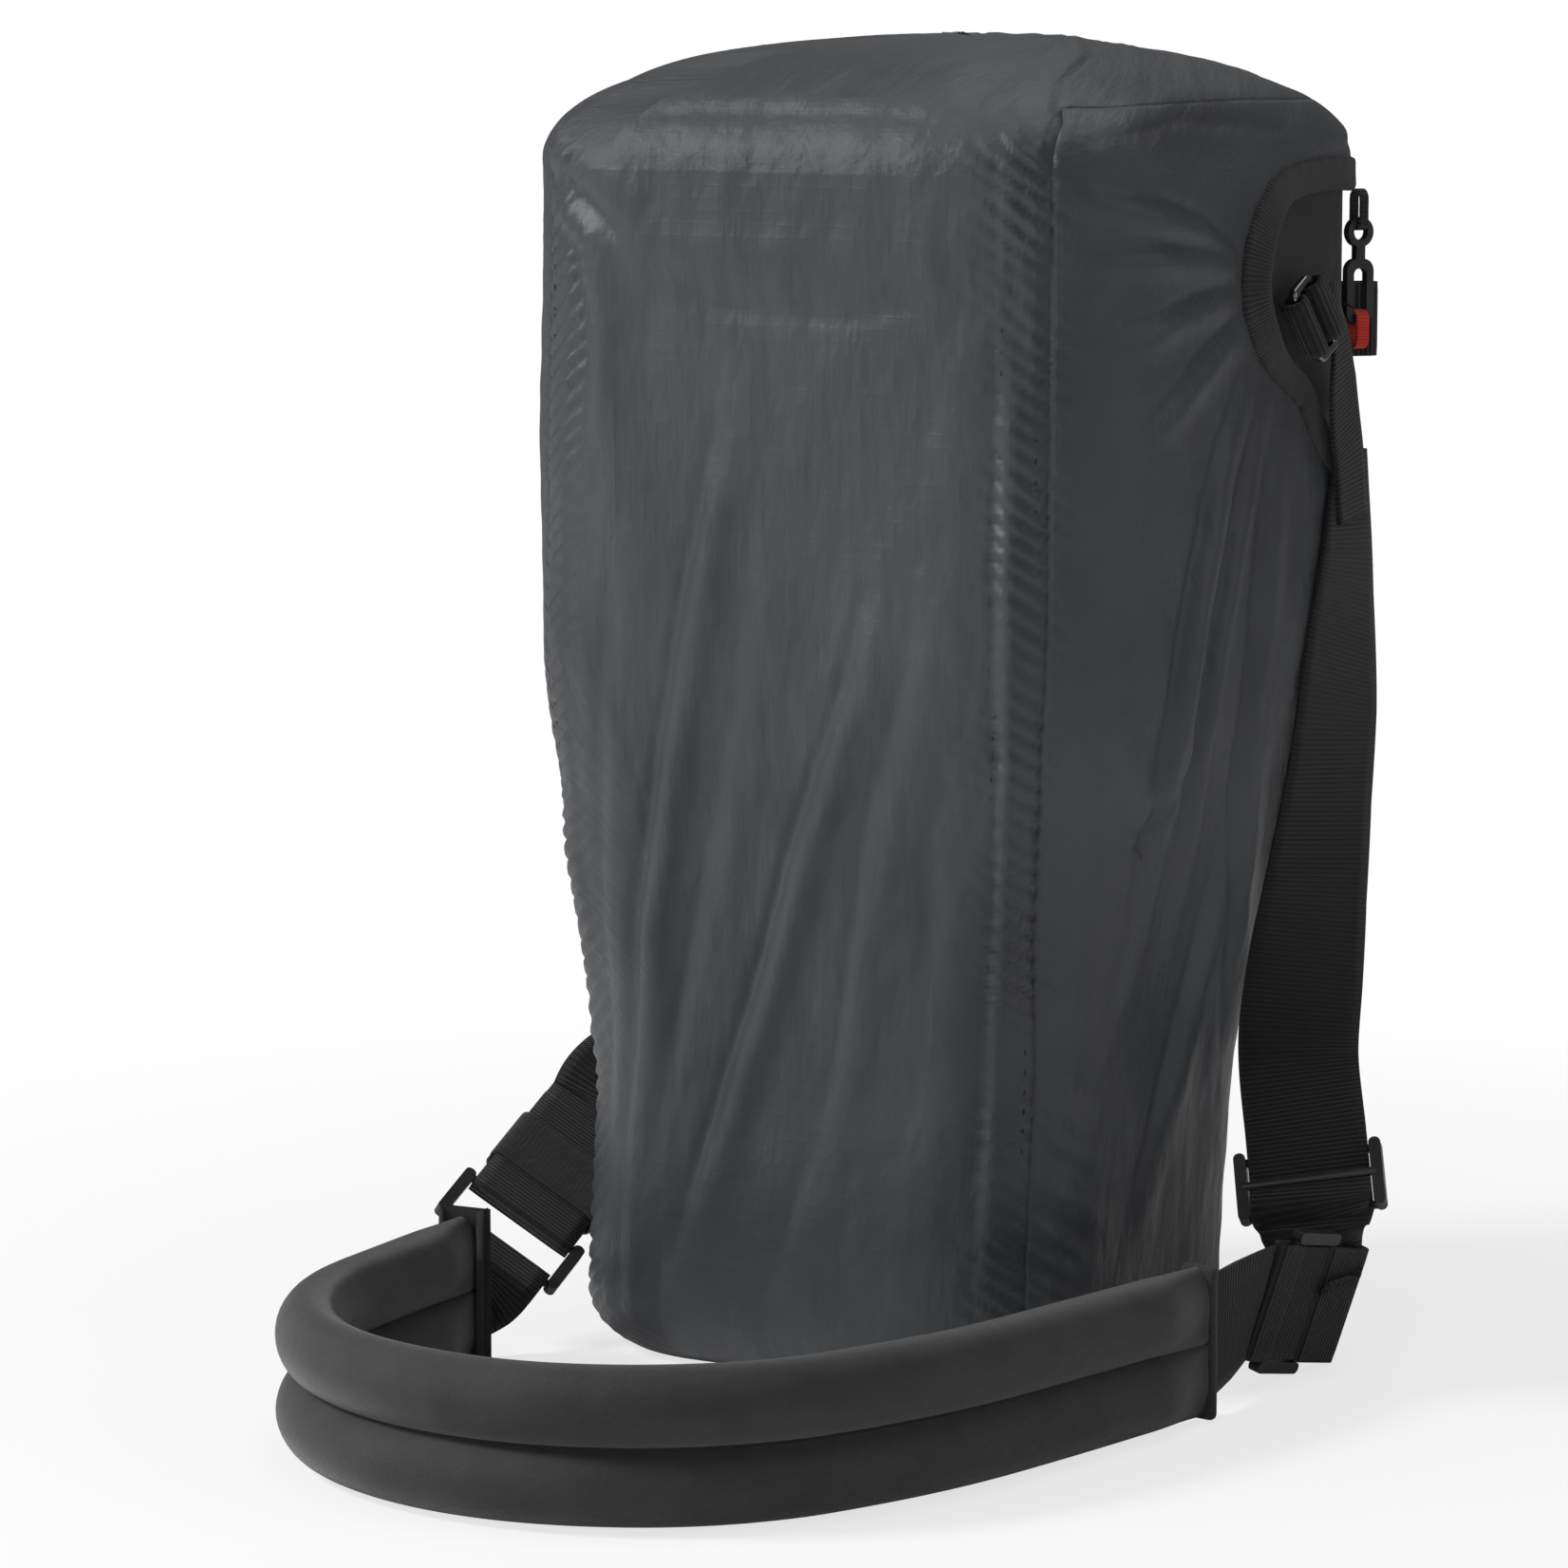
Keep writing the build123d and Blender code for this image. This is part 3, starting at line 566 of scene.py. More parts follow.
def insideOpening(back, z, grow):
    # signed distance to the opening's edge, less grow; negative inside
    ring, _ = curvePoints(openingPoints, 260, cyclic=True)
    best = np.full(back.shape, 1e9)
    crossings = np.zeros(back.shape, int)
    for (x1, z1), (x2, z2) in zip(ring[:-1], ring[1:]):
        dx, dz = x2 - x1, z2 - z1
        t = np.clip(((back - x1) * dx + (z - z1) * dz) / max(dx * dx + dz * dz, 1e-9), 0, 1)
        best = np.minimum(best, np.hypot(back - x1 - t * dx, z - z1 - t * dz))
        if z1 != z2:
            crossings += ((z1 > z) != (z2 > z)) & (back < dx * (z - z1) / dz + x1)
    return np.where(crossings % 2 == 1, -best, best) - grow


def placeCover(u, v):
    c = coverSizes
    wallShare = c["wallRows"] / (c["wallRows"] + c["crownRows"])
    onWall = v <= wallShare
    z = shape["hem"] + (shape["shoulder"] - shape["hem"]) * np.clip(v / wallShare, 0, 1)
    crownPart = np.clip((v - wallShare) / (1 - wallShare), 0, 1)
    turn = np.where(onWall, 0.0, crownPart * math.radians(c["lastTurn"]))
    crownWidth, crownZ = crownProfile(turn)
    z = np.where(onWall, z, crownZ)
    width = np.where(onWall, wallWidth(z), crownWidth)
    a, b, r = sectionSizes(width)
    arc = r * math.pi / 2
    counts = np.array([c["flatColumns"], c["cornerColumns"]] * 4, float)
    edges = np.concatenate([[0], np.cumsum(counts)]) / counts.sum()
    segment = np.interp(u, edges, np.arange(9))
    k = np.clip(np.floor(segment), 0, 7).astype(int)
    part = segment - k
    for index, seam in ((1, rightSeam), (7, leftSeam)):
        f = seamShare(z, seam, width)
        f = f if index == 1 else 1 - f
        bent = np.where(part < 0.5, part * 2 * f, f + (part - 0.5) * 2 * (1 - f))
        part = np.where(k == index, bent, part)
    lengths = [2 * a, arc, 2 * b, arc, 2 * a, arc, 2 * b, arc]
    s = -a
    for index, length in enumerate(lengths):
        s = s + np.where(k > index, length, np.where(k == index, part * length, 0.0))
    half = halfRound(width)
    signed = np.where(s > half, s - 2 * half, s)
    sm, zm = signed / mm, z / mm
    # cloth relief, in mm
    relief = np.zeros_like(sm)
    for points, halfWidth, depth, ridge in coverFolds:
        gain = c["foldGain"] + c["sideFoldGain"] * share(sm, 118, 150)
        relief += gain * foldField(sm, zm, points, halfWidth, depth, ridge)
    lowLeft = np.exp(-(((sm + 120) / 16) ** 2)) * share(zm, 95, 140) * (1 - share(zm, 200, 250))
    acrossTop = share(zm, 436, 466) * (1 - share(zm, 498, 516)) * (1 - share(np.abs(sm), 60, 108))
    relief += c["hemBulge"] * lowLeft + c["topBulge"] * acrossTop
    broad, fine, finest = c["wrinkles"]
    relief += broad * wavy(sm, zm, 55, 110, 3.1) + fine * wavy(sm, zm, 17, 48, 7.7)
    relief += finest * wavy(sm, zm, 7, 13, 11.3)
    for seam, sign in ((rightSeam, 1), (leftSeam, -1)):
        line = np.interp(zm, seamHeights, seam)
        off = line - sm * sign
        band = share(off, -1.5, 1.0) * (1 - share(off, c["bandWidth"] - 1.5, c["bandWidth"] + 1.0))
        relief += c["bandRise"] * band
        near = np.exp(-(((off - c["bandWidth"] / 2) / c["bandWidth"]) ** 2)) * (1 - share(turn, 0.2, 0.6))
        drift = 2.2 * wavy(sm * 0 + sign * 9, zm, 30, 23, 5.0)
        pucker = np.sin(2 * np.pi * (zm - 0.75 * off) / c["puckerPitch"] + drift)
        relief += c["puckerDepth"] * near * pucker * (0.55 + 0.6 * wavy(sm, zm, 40, 31, 2.0))
        relief -= c["stitchDent"] * np.exp(-((off / 1.2) ** 2))
    low = share(zm, 18, 60)
    below = 1 - share(zm, 40, 190)
    relief += below * low * 1.8 * np.exp(-(((sm - 128) / 16) ** 2)) * np.sin(zm / 3.4 + sm / 6)
    relief *= 0.15 + 0.85 * share(zm, 4, 30)
    back = np.sign(signed) * (half - np.abs(signed)) / mm
    edge = insideOpening(back, zm, 0.0)
    relief *= share(edge, 8, 30)
    stands = (c["standOff"] + np.clip(relief, c["deepest"], c["proudest"])) * mm
    x, y, nx, ny = aroundSection(s, width)
    cx, cy = leanAt(z)
    flat = np.cos(turn)
    rise = np.sin(turn) - np.clip(1 - z / shape["edge"], 0, 1) * 0.8
    points = np.stack([cx + x + nx * stands * flat, cy + y + ny * stands * flat, z + stands * rise], 1)
    coverInfo["gone"] = edge < 4.5
    seams = (edges[1] + edges[2]) / 2, (edges[7] + edges[8]) / 2
    coverInfo["side"] = (u > seams[0] - 1e-9) & (u < seams[1] + 1e-9)
    coverInfo["right"] = u <= (edges[4] + edges[5]) / 2 + 1e-9
    coverInfo["left"] = u >= (edges[4] + edges[5]) / 2 - 1e-9
    coverInfo["low"] = turn <= c["topSeamTurn"]
    coverInfo["high"] = turn >= c["topSeamTurn"] - 0.031
    return points, np.stack([s, z + turn * 0.1], 1)


def facesWhere(mesh, mask):
    # faces with every corner in the mask
    starts = np.zeros(len(mesh.polygons), np.int32)
    mesh.polygons.foreach_get("loop_start", starts)
    verts = np.zeros(len(mesh.loops), np.int32)
    mesh.loops.foreach_get("vertex_index", verts)
    flags = mask[verts]
    return flags[starts] & flags[starts + 1] & flags[starts + 2] & flags[starts + 3]


coverInfo = {}
columns = 4 * (coverSizes["flatColumns"] + coverSizes["cornerColumns"])
rows = coverSizes["wallRows"] + coverSizes["crownRows"]
coverMesh = mappedGrid(columns, rows, placeCover)
hole = facesWhere(coverMesh, coverInfo["gone"])
sideFaces = facesWhere(coverMesh, coverInfo["side"])
lowFaces = facesWhere(coverMesh, coverInfo["low"])
rightFaces = sideFaces & lowFaces & facesWhere(coverMesh, coverInfo["right"])
leftFaces = sideFaces & lowFaces & ~rightFaces
frontFaces = ~(rightFaces | leftFaces)
print("cover shaped")

for name, wanted, replaced in (
    ("coverFrontAndTop", frontFaces, ("cover_front_panel", "cover_top_panel")),
    ("coverRight", rightFaces, ("cover_right_panel",)),
    ("coverLeft", leftFaces, ("cover_left_panel",)),
):
    panelBm = weld(coverMesh.copy(), goneFaces=~wanted | hole)
    loose = [v for v in panelBm.verts if not v.link_faces]
    bmesh.ops.delete(panelBm, geom=loose, context="VERTS")
    panel = finishMesh(panelBm, name, ripstop)
    addWall(panel, "cloth", coverSizes["cloth"])
    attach(panel, "bag")
    standFor(panel, "ripstop", *replaced)
print("cover cut into panels")


bindingSizes = dict(flare=5.5, pucker=0.45, puckers=150, columns=900, rows=12, tape=0.8 * mm)


def placeBinding(u, v):
    ring, _ = curvePoints(openingPoints, 700, cyclic=True)
    spotOn = u * (len(ring) - 1)
    low = np.clip(np.floor(spotOn), 0, len(ring) - 2).astype(int)
    mix = (spotOn - low)[:, None]
    centre = ring[low] * (1 - mix) + ring[low + 1] * mix
    ahead = ring[(low + 3) % (len(ring) - 1)] - ring[(low - 2) % (len(ring) - 1)]
    ahead /= np.linalg.norm(ahead, axis=1)[:, None]
    outward = np.stack([-ahead[:, 1], ahead[:, 0]], 1)
    # across: from inside the rolled edge, over it, to the sewn outer edge
    reach = np.interp(v, [0, 0.12, 0.2, 0.3, 0.9, 1.0], [2.0, -0.4, -0.6, 1.2, 12.2, 13.2])
    lift = np.interp(v, [0, 0.12, 0.2, 0.3, 0.6, 0.9, 1.0], [-1.2, 0.8, 2.2, 3.2, 2.9, 2.7, 0.6])
    # the band stands off the wall at the front of each port
    atTip = np.exp(-(((np.abs(centre[:, 0]) - 250) / 28) ** 2)) * share(centre[:, 1], 395, 425)
    lift += bindingSizes["flare"] * atTip * (1 - share(v, 0.25, 0.95))
    pucker = bindingSizes["pucker"] * np.sin(u * 2 * np.pi * bindingSizes["puckers"]) * share(v, 0.6, 0.95)
    spot = centre + outward * (reach + pucker * 0.4)[:, None]
    points = onBack(spot[:, 0] * mm, spot[:, 1] * mm, (lift + pucker * 0.5) * mm)
    return points, np.stack([reach * mm, u * 1.9], 1)


bindingMesh = mappedGrid(bindingSizes["columns"], bindingSizes["rows"], placeBinding)
coverBinding = finishMesh(weld(bindingMesh), "coverBinding", bindingTape)
addWall(coverBinding, "tape", bindingSizes["tape"])
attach(coverBinding, "bag")
standFor(coverBinding, "webbing", "cover_binding")


stitchSizes = dict(length=3.0, gap=1.1, radius=0.32)


def stitchRun(name, points, outs):
    # short threads lying along a line of points
    length, gap, radius = stitchSizes["length"], stitchSizes["gap"], stitchSizes["radius"]
    line, walked = curvePoints(points, max(int(len(points) * 30), 60))
    fineShares, shares = np.linspace(0, 1, len(line)), np.linspace(0, 1, len(outs))
    out = np.stack([np.interp(fineShares, shares, np.array(outs)[:, k]) for k in range(3)], 1)
    count = int(walked[-1] / ((length + gap) * mm))
    single = bmesh.new()
    for i in range(count):
        middle = (i + 0.5) * (length + gap) * mm
        p = Vector([np.interp(middle, walked, line[:, k]) for k in range(3)])
        q = Vector([np.interp(min(middle + mm, walked[-1]), walked, line[:, k]) for k in range(3)])
        along = (q - p).normalized() if (q - p).length > 1e-7 else Vector((0, 0, 1))
        normal = Vector([np.interp(middle, walked, out[:, k]) for k in range(3)]).normalized()
        side = along.cross(normal).normalized()
        normal = side.cross(along)
        made = bmesh.ops.create_uvsphere(single, u_segments=6, v_segments=4, radius=1.0)
        for vert in made["verts"]:
            c = vert.co
            thick = (side * c.x + normal * c.y) * radius * mm
            vert.co = p + thick + along * (c.z * length / 2 * mm)
    piece = finishMesh(single, name, thread)
    piece.data.uv_layers.new(name="cloth")
    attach(piece, "bag")


def seamStitches(name, seam, sign, shift):
    heights = np.linspace(12, 505, 60)
    s = sign * (np.interp(heights, seamHeights, seam) - shift)
    pts = onBag(s * mm, heights * mm, 0.55 * mm)
    outs = onBag(s * mm, heights * mm, 10 * mm) - pts
    stitchRun(name, [Vector(p) for p in pts], outs)


seamStitches("stitchesRightSeam", rightSeam, 1, 1.6)
seamStitches("stitchesRightBand", rightSeam, 1, 15.5)
seamStitches("stitchesLeftSeam", leftSeam, -1, 1.6)
print("seams stitched")


innerSizes = dict(
    inset=5.0 * mm, wall=3.0 * mm, bodyHigh=0.488, lidLow=0.4882, bootInset=2.3 * mm, portFill=2.6 * mm,
    lidWallShare=0.25, bootFlatShare=0.3, padHalf=84, padLow=68, padHigh=466, padPuff=5.5, padWall=2.0 * mm,
)


def wrapShell(name, zLow, zHigh, out, columns, rows, material, crown=False, bottom=False, relief=None):
    def place(u, v):
        if crown:
            wallShare = innerSizes["lidWallShare"]
            turn = np.clip((v - wallShare) / (1 - wallShare), 0, 1) * math.radians(coverSizes["lastTurn"])
            width, z = crownProfile(turn)
            z = np.where(v < wallShare, zLow + (shape["shoulder"] - zLow) * v / wallShare, z)
        elif bottom:
            turn = 0 * v
            flatShare = innerSizes["bootFlatShare"]
            z = zHigh * np.clip((v - flatShare) / (1 - flatShare), 0, 1) ** 1.4
            width = wallWidth(z) * (0.02 + 0.98 * np.clip(v / flatShare, 0, 1))
        else:
            turn = 0 * v
            z = zLow + (zHigh - zLow) * v
            width = wallWidth(z)
        half = halfRound(width)
        s = (u * 2 - 1) * half
        x, y, nx, ny = aroundSection(s, width)
        cx, cy = leanAt(z)
        extra = out if relief is None else out + relief(s, z, half)
        shrink = np.clip(v / innerSizes["bootFlatShare"], 0, 1) if bottom else 1.0
        rise = np.sin(turn) - (np.clip(1 - z / shape["edge"], 0, 1) if bottom else 0)
        zPut = z + extra * rise
        flat = extra * np.cos(turn) * shrink
        return np.stack([cx + x + nx * flat, cy + y + ny * flat, zPut], 1), np.stack([s, z], 1)

    mesh = mappedGrid(columns, rows, place)
    piece = finishMesh(weld(mesh), name, material)
    addWall(piece, "wall", innerSizes["wall"])
    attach(piece, "bag")
    return piece


def portRelief(s, z, half):
    # the bag lies close behind the ports
    back, high = (half - np.abs(s)) / mm, z / mm
    near = 1 - share(insideOpening(back, high, 0.0), 1.5, 7.5)
    return innerSizes["portFill"] * near * share(back, 90, 106) * share(high, 380, 396)


def bodyRelief(s, z, half):
    # a piped seam down each rear corner
    back = (half - np.abs(s)) / mm
    return 1.0 * mm * np.exp(-(((back - 104) / 1.6) ** 2)) + portRelief(s, z, half)


bagBody = wrapShell(
    "bagBody", 0.040, innerSizes["bodyHigh"], -innerSizes["inset"], 220, 170, bagCloth, relief=bodyRelief
)
standFor(bagBody, "bag_fabric", "body_shell")
bagLid = wrapShell(
    "bagLid", innerSizes["lidLow"], shape["height"], -innerSizes["inset"], 220, 80, bagCloth, crown=True,
    relief=portRelief,
)
standFor(bagLid, "bag_fabric", "lid")
baseBoot = wrapShell("baseBoot", 0.0, 0.0395, -innerSizes["bootInset"], 160, 40, coatedCloth, bottom=True)
standFor(baseBoot, "coated_fabric", "base_boot")


def placeBackPad(u, v):
    side = 1 - 2 * u
    half = innerSizes["padHalf"]
    z = innerSizes["padLow"] + (innerSizes["padHigh"] - innerSizes["padLow"]) * v
    # outline with rounded corners
    cornerShare = np.clip((np.abs(v - 0.5) * 2 - 0.86) / 0.14, 0, 1)
    x = side * half * (1 - 0.22 * cornerShare**2)
    crown = np.clip(1 - np.abs(side) ** 6, 0, 1) * np.clip(1 - np.abs(v * 2 - 1) ** 14, 0, 1)
    channels = np.exp(-(((np.mod(z - 110 + 42, 84) - 42) / 2.2) ** 2)) + np.exp(-((x / 2.2) ** 2))
    puff = innerSizes["padPuff"] * np.sqrt(crown) * (1 - 0.55 * np.clip(channels, 0, 1))
    return onBack(x * mm, z * mm, (-2.6 + puff) * mm), np.stack([x * mm, z * mm], 1)


backPadMesh = mappedGrid(120, 240, placeBackPad)
backPad = finishMesh(weld(backPadMesh), "backPad", backMesh)
addWall(backPad, "foam", innerSizes["padWall"])
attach(backPad, "bag")
standFor(backPad, "bag_fabric", "back_panel")
print("inner bag ready")


def webStrip(
    name, runs, material=webbing, body="bag", thickness=webThickness, ribDepth=0.16, ribPitch=2.0, profile=14
):
    # runs of (stations, width in mm, cyclic); a station is a point in metres, its width's direction and,
    # where the strip is gathered, its share of the width
    whole = bmesh.new()
    for stations, width, cyclic in runs:
        pts = [s[0] for s in stations]
        length = curvePoints(pts, 50, cyclic)[1][-1]
        rowCount = int(max(length / (0.55 * mm), 24))
        centre, walked = curvePoints(pts, rowCount + 1, cyclic)
        knots = np.array([list(s[1]) + [s[2] if len(s) > 2 else 1.0] for s in stations], float)
        places = [0.0]
        closedPts = [Vector(p) for p in pts] + ([Vector(pts[0])] if cyclic else [])
        for p, q in zip(closedPts[:-1], closedPts[1:]):
            places.append(places[-1] + (q - p).length)
        if cyclic:
            knots = np.vstack([knots, knots[:1]])
        places = np.array(places) / places[-1] * walked[-1]
        across = np.stack([np.interp(walked, places, knots[:, k]) for k in range(3)], 1)
        gathered = np.interp(walked, places, knots[:, 3])
        if cyclic:
            tangent = np.roll(centre[:-1], -1, 0) - np.roll(centre[:-1], 1, 0)
            tangent = np.vstack([tangent, tangent[:1]])
        else:
            tangent = np.gradient(centre, axis=0)
        tangent /= np.linalg.norm(tangent, axis=1)[:, None]
        across -= tangent * np.sum(across * tangent, 1)[:, None]
        across /= np.linalg.norm(across, axis=1)[:, None]
        normal = np.cross(tangent, across)

        def place(u, v):
            i = np.clip(np.round(v * rowCount), 0, rowCount).astype(int)
            ang = u * 2 * np.pi
            flatX = np.clip(np.cos(ang) * 1.25, -1, 1)
            x = flatX * gathered[i] * width * mm / 2
            rim = np.sin(ang)
            ySign = np.tanh(rim * 4.0)
            rib = ribDepth * mm * np.sin(walked[i] * 2 * np.pi / (ribPitch * mm)) * (np.abs(flatX) < 0.96)
            y = ySign * (thickness / 2 + rib * 0.8)
            pts3 = centre[i] + across[i] * x[:, None] + normal[i] * y[:, None]
            return pts3, np.stack([x, walked[i]], 1)

        mesh = mappedGrid(profile, rowCount, place)
        bm = weld(mesh, capEnds=not cyclic, distance=2e-6)
        temp = bpy.data.meshes.new("run")
        bm.to_mesh(temp)
        bm.free()
        whole.from_mesh(temp)
        bpy.data.meshes.remove(temp)
    bmesh.ops.recalc_face_normals(whole, faces=whole.faces[:])
    piece = finishMesh(whole, name, material)
    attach(piece, body)
    return piece


def foldRun(place, outSign, start, length, width, gap, thickness=webThickness / mm):
    # a closed fold round a bar at (0, start) of a plane, running outwards along its Y
    half = gap / 2 + thickness / 2
    ring = []
    for t in (0.0, 0.5, 1.0):
        ring.append((start + outSign * length * t, half))
    for degrees in (60, 30, 0, -30, -60):
        a = math.radians(degrees)
        ring.append((start + outSign * (length + half * math.cos(a)), half * math.sin(a)))
    for t in (1.0, 0.5, 0.0):
        ring.append((start + outSign * length * t, -half))
    for degrees in (-120, -150, 180, 150, 120):
        a = math.radians(degrees)
        ring.append((start + outSign * half * math.cos(a), half * math.sin(a)))
    return [(at(place, 0, along, rise), place[1]) for along, rise in ring], width, True


sizes = dict(
    strap=50, lead=25, tape=4, pull=6, haul=31, pitch=12.5, bar=3.6, gap=0.35, fold=22, stub=10, tail=62,
    ringPitch=14, ringWire=3.6,
)
barGap = sizes["bar"] + 2 * sizes["gap"]
web = webThickness / mm
rightPlane = plane((179.0, 8.0, 32.5), (0.126, 0.974, -0.188), (0.26, 0.15, 0.953))
adjusterCentre = Vector((170, 39, 76))
strapBend = Vector((151, 65, 124))
adjusterPlane = plane(adjusterCentre, strapBend - adjusterCentre, (0.814, 0.47, 0.342))
foldTip = at(rightPlane, 0, sizes["pitch"] + sizes["fold"] + barGap / 2 + web / 2)
turnPoint = foldTip + Vector((-1.5, 0, 14)) * mm
turnAcross = Vector((0.6, 0.34, 0.75))
v3 = Vector

rightRun = [
    (v3((156.5, 97, 374)) * mm, v3((0, 1, 0)), 0.52),
    (v3((156.6, 95, 350)) * mm, v3((0, 1, 0)), 0.74),
    (v3((157, 92, 318)) * mm, v3((0, 1, 0)), 1.0),
    (v3((160, 79, 268)) * mm, v3((0.24, 0.97, 0))),
    (v3((157, 76, 228)) * mm, v3((0.37, 0.93, 0))),
    (v3((153, 74, 188)) * mm, v3((0.56, 0.83, 0))),
    (v3((151, 69.5, 154)) * mm, v3((0.77, 0.64, 0.1))),
    (strapBend * mm, adjusterPlane[1]),
    (at(adjusterPlane, 0, 20), adjusterPlane[1]),
    (at(adjusterPlane, 0, -15), adjusterPlane[1]),
    (at(adjusterPlane, 0, -24), adjusterPlane[1], 0.85),
    (at(rightPlane, 14, sizes["pitch"] + 12, 7), turnAcross, 0.6),
    (at(rightPlane, 0, sizes["pitch"] + 8, 3.6), rightPlane[1], 0.75),
]
rightFold = foldRun(rightPlane, 1, sizes["pitch"], sizes["fold"], sizes["strap"], barGap)
rightStrap = webStrip("rightStrap", [(rightRun, sizes["strap"], False), rightFold])
standFor(rightStrap, "webbing", "right_strap")

barRise = web / 2 + 0.25 + sizes["bar"] / 2
returnRun = [
    (at(adjusterPlane, 0, -sizes["bar"] / 2 - 0.35, barRise), adjusterPlane[1]),
    (at(adjusterPlane, 0, -15, barRise), adjusterPlane[1]),
    (turnPoint + v3((-3.5, -0.76, 3)) * mm, turnAcross, 0.42),
]
strapReturn = webStrip("strapReturn", [(returnRun, sizes["strap"], False)])
strapReturn.parent = None
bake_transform(strapReturn)
standFor(strapReturn, "webbing", "strap_return")

# shoulder pad's line: a run, a slight bend, a half circle and a run
padSizes = dict(
    start=(176.0, -74.0), heading=-100.0, firstRun=108.0, bends=((370.0, 15.5), (130.0, 150.0)), lastRun=85.0,
    height=31.7, lobeHigh=15.5, lobeWide=13.5, lobeRise=15.0, pressed=0.50, endLong=5.4,
    endWide=16.5, endHigh=62.2, endRound=2.5,
)


def padLine(step=1.0):
    x, y = padSizes["start"]
    angle = math.radians(padSizes["heading"])
    legs = [(padSizes["firstRun"], 0.0)]
    legs += [(radius * math.radians(turn), -1 / radius) for radius, turn in padSizes["bends"]]
    legs += [(padSizes["lastRun"], 0.0)]
    points, headings = [(x, y)], [angle]
    for length, bend in legs:
        count = max(int(length / step), 1)
        for _ in range(count):
            middle = angle + bend * length / count / 2
            x += math.cos(middle) * length / count
            y += math.sin(middle) * length / count
            angle += bend * length / count
            points.append((x, y))
            headings.append(angle)
    return np.array(points), np.array(headings)


padPoints, padHeadings = padLine()
padRight = v3((padPoints[0][0], padPoints[0][1], padSizes["height"])) * mm
padLeft = v3((padPoints[-1][0], padPoints[-1][1], padSizes["height"])) * mm
firstWay = v3((math.cos(padHeadings[0]), math.sin(padHeadings[0]), 0))
lastWay = v3((math.cos(padHeadings[-1]), math.sin(padHeadings[-1]), 0))

stubTip = at(rightPlane, 0, -sizes["pitch"] - sizes["stub"] - barGap / 2 - web * 0.6)
stubRun = [
    (padRight, v3((0, 0, 1))),
    (padRight - firstWay * 6 * mm, v3((0, 0, 1))),
    ((padRight + stubTip) * 0.5 + v3((0.8, 2, 0)) * mm, v3((0.1, 0.06, 0.99))),
    (stubTip, rightPlane[1]),
]
sliderFill = [(at(rightPlane, 0, way * (sizes["pitch"] - 3), -1.5), rightPlane[1]) for way in (-1, 1)]
stubFold = foldRun(rightPlane, -1, -sizes["pitch"], sizes["stub"], sizes["strap"], barGap)
stubRight = webStrip(
    "stubRight", [(stubRun, sizes["strap"], False), (sliderFill, sizes["strap"] - 1, False), stubFold]
)
standFor(stubRight, "webbing", "pad_stub_right")

leftPlane = plane((-136.0, -96.0, 46.0), (-0.075, 0.916, 0.395), (-0.766, -0.29, 0.573))
tailTip = at(leftPlane, 0, sizes["pitch"] + sizes["tail"] + barGap / 2 + web / 2)
strapClear = 1.8 + 0.35 + web / 2


def rearCorner(angle, height, out):
    z = height * mm
    width = float(wallWidth(np.array(z)))
    cx, cy = leanAt(z)
    halfX = width / 2 - shape["corner"]
    turn = math.radians(angle)
    reach = shape["corner"] + out * mm
    side = 1 if math.cos(turn) > 0 else -1
    middleY = cy + halfX - shape["depthLess"] / 2
    return v3((cx + side * halfX + reach * math.cos(turn), middleY + reach * math.sin(turn), z))


lowerRun = [
    (tailTip, leftPlane[1]),
    (tailTip + leftPlane[2] * 12 * mm, leftPlane[1]),
    (tailTip + leftPlane[2] * 34 * mm + v3((1, 0, 3)) * mm, v3((-0.6, -0.1, 0.8))),
    (rearCorner(176, 110, strapClear + 13), v3((-0.4, 0, 0.9))),
    (rearCorner(158, 118, strapClear + 8), v3((-0.25, 0.05, 0.97))),
    (rearCorner(142, 123, strapClear + 4.5), v3((-0.1, 0.08, 0.99))),
    (rearCorner(126, 126, strapClear + 3), v3((-0.07, 0.09, 0.99))),
    (rearCorner(112, 128, strapClear + 1.5), v3((-0.04, 0.1, 0.99))),
    (rearCorner(98, 129, strapClear - 1.2), v3((-0.01, 0.11, 0.99))),
    (rearCorner(92, 129, 1.8), v3((0, 0.11, 0.99))),
]
lowerFold = foldRun(leftPlane, 1, sizes["pitch"], sizes["tail"], sizes["strap"], barGap)
lowerStrap = webStrip("lowerStrap", [(lowerRun, sizes["strap"], False), lowerFold])
standFor(lowerStrap, "webbing", "lower_strap")

leftStubTip = at(leftPlane, 0, -sizes["pitch"] - sizes["stub"] - barGap / 2 - web * 0.6)
leftStubRun = [
    (padLeft, v3((0, 0, 1))),
    (padLeft + lastWay * 6 * mm, v3((0, 0, 1))),
    ((padLeft + leftStubTip) * 0.5 + lastWay * 2 * mm, v3((-0.45, -0.17, 0.88))),
    (leftStubTip, leftPlane[1]),
]
leftStubFold = foldRun(leftPlane, -1, -sizes["pitch"], sizes["stub"], sizes["strap"], barGap)
stubLeft = webStrip("stubLeft", [(leftStubRun, sizes["strap"], False), leftStubFold])
standFor(stubLeft, "webbing", "pad_stub_left")

